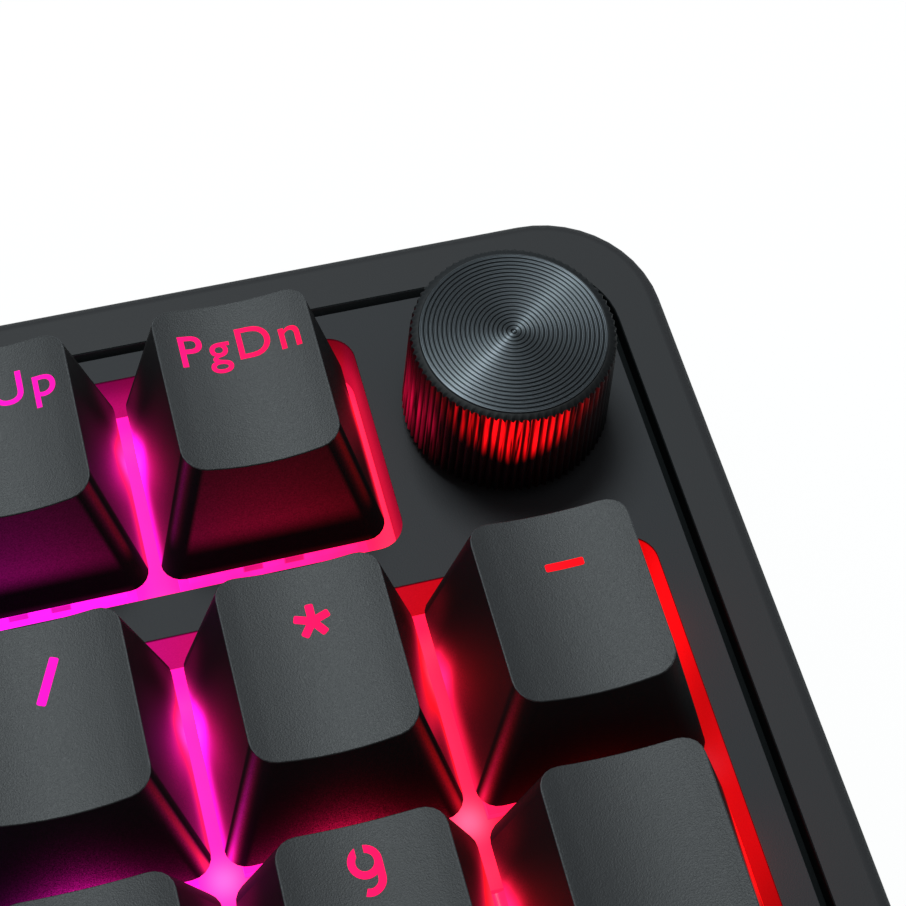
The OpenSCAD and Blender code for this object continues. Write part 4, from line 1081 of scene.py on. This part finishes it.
def cad_copy(node):
    """A CAD node's mesh as a clean bmesh in millimetres."""
    bm = bmesh.new()
    bm.from_mesh(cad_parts[node].data)
    bmesh.ops.scale(bm, vec=(1000, 1000, 1000), verts=bm.verts)
    bmesh.ops.remove_doubles(bm, verts=bm.verts, dist=0.0005)
    bmesh.ops.dissolve_limit(bm, angle_limit=math.radians(0.5), verts=bm.verts, edges=bm.edges)
    bm.normal_update()
    return bm


def is_wall(face):
    return abs(face.normal.z) < 0.3


def at_deck(face):
    """True for a level face at the deck's height."""
    return face.normal.z > 0.9 and abs(face.calc_center_median().z - Z_DECK) < 0.01


def within(point, half):
    return abs(point.x) < half[0] and abs(point.y) < half[1]


def softened(node, width):
    """A copy of a CAD node whose upright walls turn softly into the deck's height."""
    bm = cad_copy(node)
    round_edges(bm, edges_between(bm, at_deck, is_wall), width, 2)
    bm.normal_update()
    return bm


def deck_mesh():
    """The deck: its well walls get the second material, and its outer walls the third."""
    bm = softened("deck_cover", WELL_ROUND)
    for face in bm.faces:
        middle = face.calc_center_median()
        inner = within(middle, WELL_FIELD)
        if middle.z < Z_DECK - 0.1:
            off_knob = math.hypot(middle.x - KNOB_X, middle.y - KNOB_Y) > KNOB_OPENING
            face.material_index = (1 if is_wall(face) and off_knob else 0) if inner else 2
        else:
            face.material_index = 0
    return bm


def frame_mesh():
    """The outer frame: its inner walls get the second material."""
    bm = softened("top_frame", FRAME_ROUND)
    for face in bm.faces:
        middle = face.calc_center_median()
        face.material_index = 1 if within(middle, FRAME_INSIDE) and middle.z < Z_DECK - 0.01 else 0
    return bm


def springs_under(keys, springs):
    """The springs of these keys alone, from the mesh of all springs."""
    bm = bmesh.new()
    bm.from_mesh(springs)
    places = [(key_x(left, wide), row_y(row)) for (left, wide, row, deep), text in keys]
    far = [v for v in bm.verts if all(math.hypot(v.co.x - x, v.co.y - y) > SPRING_REACH for x, y in places)]
    bmesh.ops.delete(bm, geom=far, context="VERTS")
    return bm


# ---- build

top_paint = cap_top_paint()
side_paint = cap_side_paint()
word_paint = legend_paint()
steel = metal("spring_steel", (0.55, 0.56, 0.58), 0.3)

all_springs = bpy.data.meshes.new("all_springs")
spring_bm = cad_copy(SPRINGS[0])
spring_bm.to_mesh(all_springs)
spring_bm.free()

for name, (node, body, keys) in KEY_SETS.items():
    caps = bmesh.new()
    words = bmesh.new()
    for key, text in keys:
        add_cap(caps, key)
        if text:
            mark = legend(key, text)
            mesh = bpy.data.meshes.new("word")
            mark.to_mesh(mesh)
            mark.free()
            words.from_mesh(mesh)
            bpy.data.meshes.remove(mesh)
    piece(caps, name + "_keycaps", body, [top_paint, side_paint], [node])
    piece(words, name + "_legends", body, [word_paint], weighted=False)
    coils = springs_under(keys, all_springs)
    coils = piece(coils, name + "_springs", "case", [steel], SPRINGS, weighted=False)
    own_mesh(coils)

groove_painted_shade = groove_paint()
deck_paints = [case_top_paint("deck_grey", linear(49, 50, 53)), well_paint(), groove_painted_shade]
piece(deck_mesh(), "deck_panel", "case", deck_paints, ["deck_cover"])
frame_paints = [case_top_paint("frame_grey", linear(52, 52, 54)), groove_painted_shade]
piece(frame_mesh(), "outer_frame", "case", frame_paints, ["top_frame"])
piece(ribbed_shell(), "knob_shell", "knob", [knob_paint()], ["volume_knob"], sharp=50)
piece(grooved_disc(), "knob_disc", "knob", [disc_paint()], ["knob_top_disc"], sharp=25)

# Carried-over nodes and their finishes
black_plastic = moulded("case_black", (0.016, 0.016, 0.018), 0.03, 4.0)
dark_foam = moulded("foam_grey", (0.03, 0.03, 0.032), 0.3, 1.5, 0.9, 0.1)
board_paint = moulded("board_black", (0.008, 0.012, 0.011), 0.01, 3.0, 0.4, 0.5)
amber_stem = moulded("amber_stem", (0.62, 0.27, 0.04), 0.01, 5.0, 0.4, 0.4)
housing_dark = housing_paint("housing_dark", 2.1, (0.012, 0.012, 0.013))
shell_steel = metal("socket_steel", (0.5, 0.51, 0.53), 0.38)
brass = metal("standoff_brass", (0.72, 0.5, 0.2), 0.35)
screw_steel = metal("blackened_steel", (0.16, 0.16, 0.17), 0.4)
pad_rubber = moulded("pad_rubber", (0.012, 0.012, 0.013), 0.05, 3.0, 0.85, 0.2)
lamp_paint = Paint("lamp_white", color=(0.7, 0.68, 0.6), Roughness=0.4)
lamp_color = light_color(lamp_paint, lamp_paint.place()[0])
lamp_paint.lit(lamp_paint.tint(lamp_color, 0.8 + 0.4 * lamp_paint.noise(2)))

FINISHES = {
    "bottom_case": black_plastic,
    "case_foam": dark_foam,
    "circuit_board": board_paint,
    "plate_foam": dark_foam,
    "switch_plate": plate_paint(),
    "switch_bottoms": housing_dark,
    "switch_tops": housing_paint("clear_housing", 2.2, (0.02, 0.01, 0.015)),
    "switch_leds": lamp_paint,
    "hall_sensors": board_paint,
    "controller_chips": board_paint,
    "usb_socket": shell_steel,
    "stabiliser_housings": housing_dark,
    "plate_standoffs": brass,
    "case_screws": screw_steel,
    "rubber_feet": pad_rubber,
    "encoder_body": shell_steel,
    "encoder_rotor": moulded("rotor_white", (0.6, 0.6, 0.56), 0.01, 4.0, 0.5, 0.4),
    "encoder_shaft": metal("shaft_metal", (0.6, 0.61, 0.63), 0.3),
    "left_tilt_foot": black_plastic,
    "right_tilt_foot": black_plastic,
}
for name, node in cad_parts.items():
    paint = FINISHES.get(name)
    if name.endswith(("_stem", "_stems")):
        paint = amber_stem
    elif name.endswith("_wire"):
        paint = steel
    if paint is not None:
        for place in node.material_slots:
            place.material = paint.mat

# ---- stage, light and camera


def camera_shader(tree, other, seen, share, output_kind):
    """Fills a node tree with two shaders: seen for this share of the camera's view, other for all the rest.

    Each shader is a node type with its socket values.
    """
    tree.nodes.clear()
    ray = tree.nodes.new("ShaderNodeLightPath")
    factor = tree.nodes.new("ShaderNodeMath")
    factor.operation = "MULTIPLY"
    factor.inputs[1].default_value = share
    tree.links.new(ray.outputs["Is Camera Ray"], factor.inputs[0])
    mixer = tree.nodes.new("ShaderNodeMixShader")
    tree.links.new(factor.outputs[0], mixer.inputs[0])
    for place, (kind, values) in enumerate((other, seen), 1):
        shader = tree.nodes.new(kind)
        for name, value in values.items():
            shader.inputs[name].default_value = value
        tree.links.new(shader.outputs[0], mixer.inputs[place])
    output = tree.nodes.new(output_kind)
    tree.links.new(mixer.outputs[0], output.inputs["Surface"])


# Pale ground that looks white to the camera but keeps a soft shadow
GROUND_REACH, GROUND_Z = 3000, -0.2
ground_bm = bmesh.new()
bmesh.ops.create_grid(ground_bm, x_segments=1, y_segments=1, size=GROUND_REACH)
move(ground_bm, ground_bm.verts, (0, 0, GROUND_Z))
ground = bpy.data.objects.new("ground", finish_mesh(ground_bm, "ground"))
bpy.context.scene.collection.objects.link(ground)
pale = bpy.data.materials.new("pale_ground")
pale.use_nodes = True
matte = ("ShaderNodeBsdfDiffuse", {"Color": (0.9, 0.9, 0.9, 1)})
glow = ("ShaderNodeEmission", {"Strength": 1.06})
camera_shader(pale.node_tree, matte, glow, 0.85, "ShaderNodeOutputMaterial")
ground.data.materials.append(pale)

world = bpy.data.worlds.new("studio")
bpy.context.scene.world = world
world.use_nodes = True
soft = ("ShaderNodeBackground", {"Color": (0.95, 0.98, 1.0, 1), "Strength": 0.22})
white = ("ShaderNodeBackground", {"Color": (1, 1, 1, 1), "Strength": 1.0})
camera_shader(world.node_tree, soft, white, 1.0, "ShaderNodeOutputWorld")


def area_light(name, toward, distance, size, power, color):
    """A soft square light in the direction toward, aimed at the knob."""
    data = bpy.data.lights.new(name, "AREA")
    data.size = size
    data.energy = power
    data.color = color
    obj = bpy.data.objects.new(name, data)
    direction = Vector(toward).normalized()
    obj.location = Vector((KNOB_X, KNOB_Y, Z_KNOB)) * MM + direction * distance
    obj.rotation_euler = direction.to_track_quat("Z", "Y").to_euler()
    bpy.context.scene.collection.objects.link(obj)


area_light("key_light", (-0.079, 0.35, 0.933), 0.6, 0.2, 2.4, (0.88, 0.98, 1.0))

# The photograph's camera, as fitted to its edges and corners
view = bpy.data.cameras.new("photo_camera")
view.lens = 81.78
view.sensor_width = 36.0
view.clip_start = 0.01
view.clip_end = 20.0
camera = bpy.data.objects.new("photo_camera", view)
right = Vector((0.96448, -0.25967, 0.04849))
up = Vector((0.20078, 0.83991, 0.50423))
back = Vector((-0.17166, -0.47658, 0.86221))
turn = Matrix((right, up, back)).transposed().to_4x4()
camera.matrix_world = Matrix.Translation(Vector((139.52, -32.83, 163.83)) * MM) @ turn
bpy.context.scene.collection.objects.link(camera)
bpy.context.scene.camera = camera
bpy.context.scene.view_settings.view_transform = "Standard"
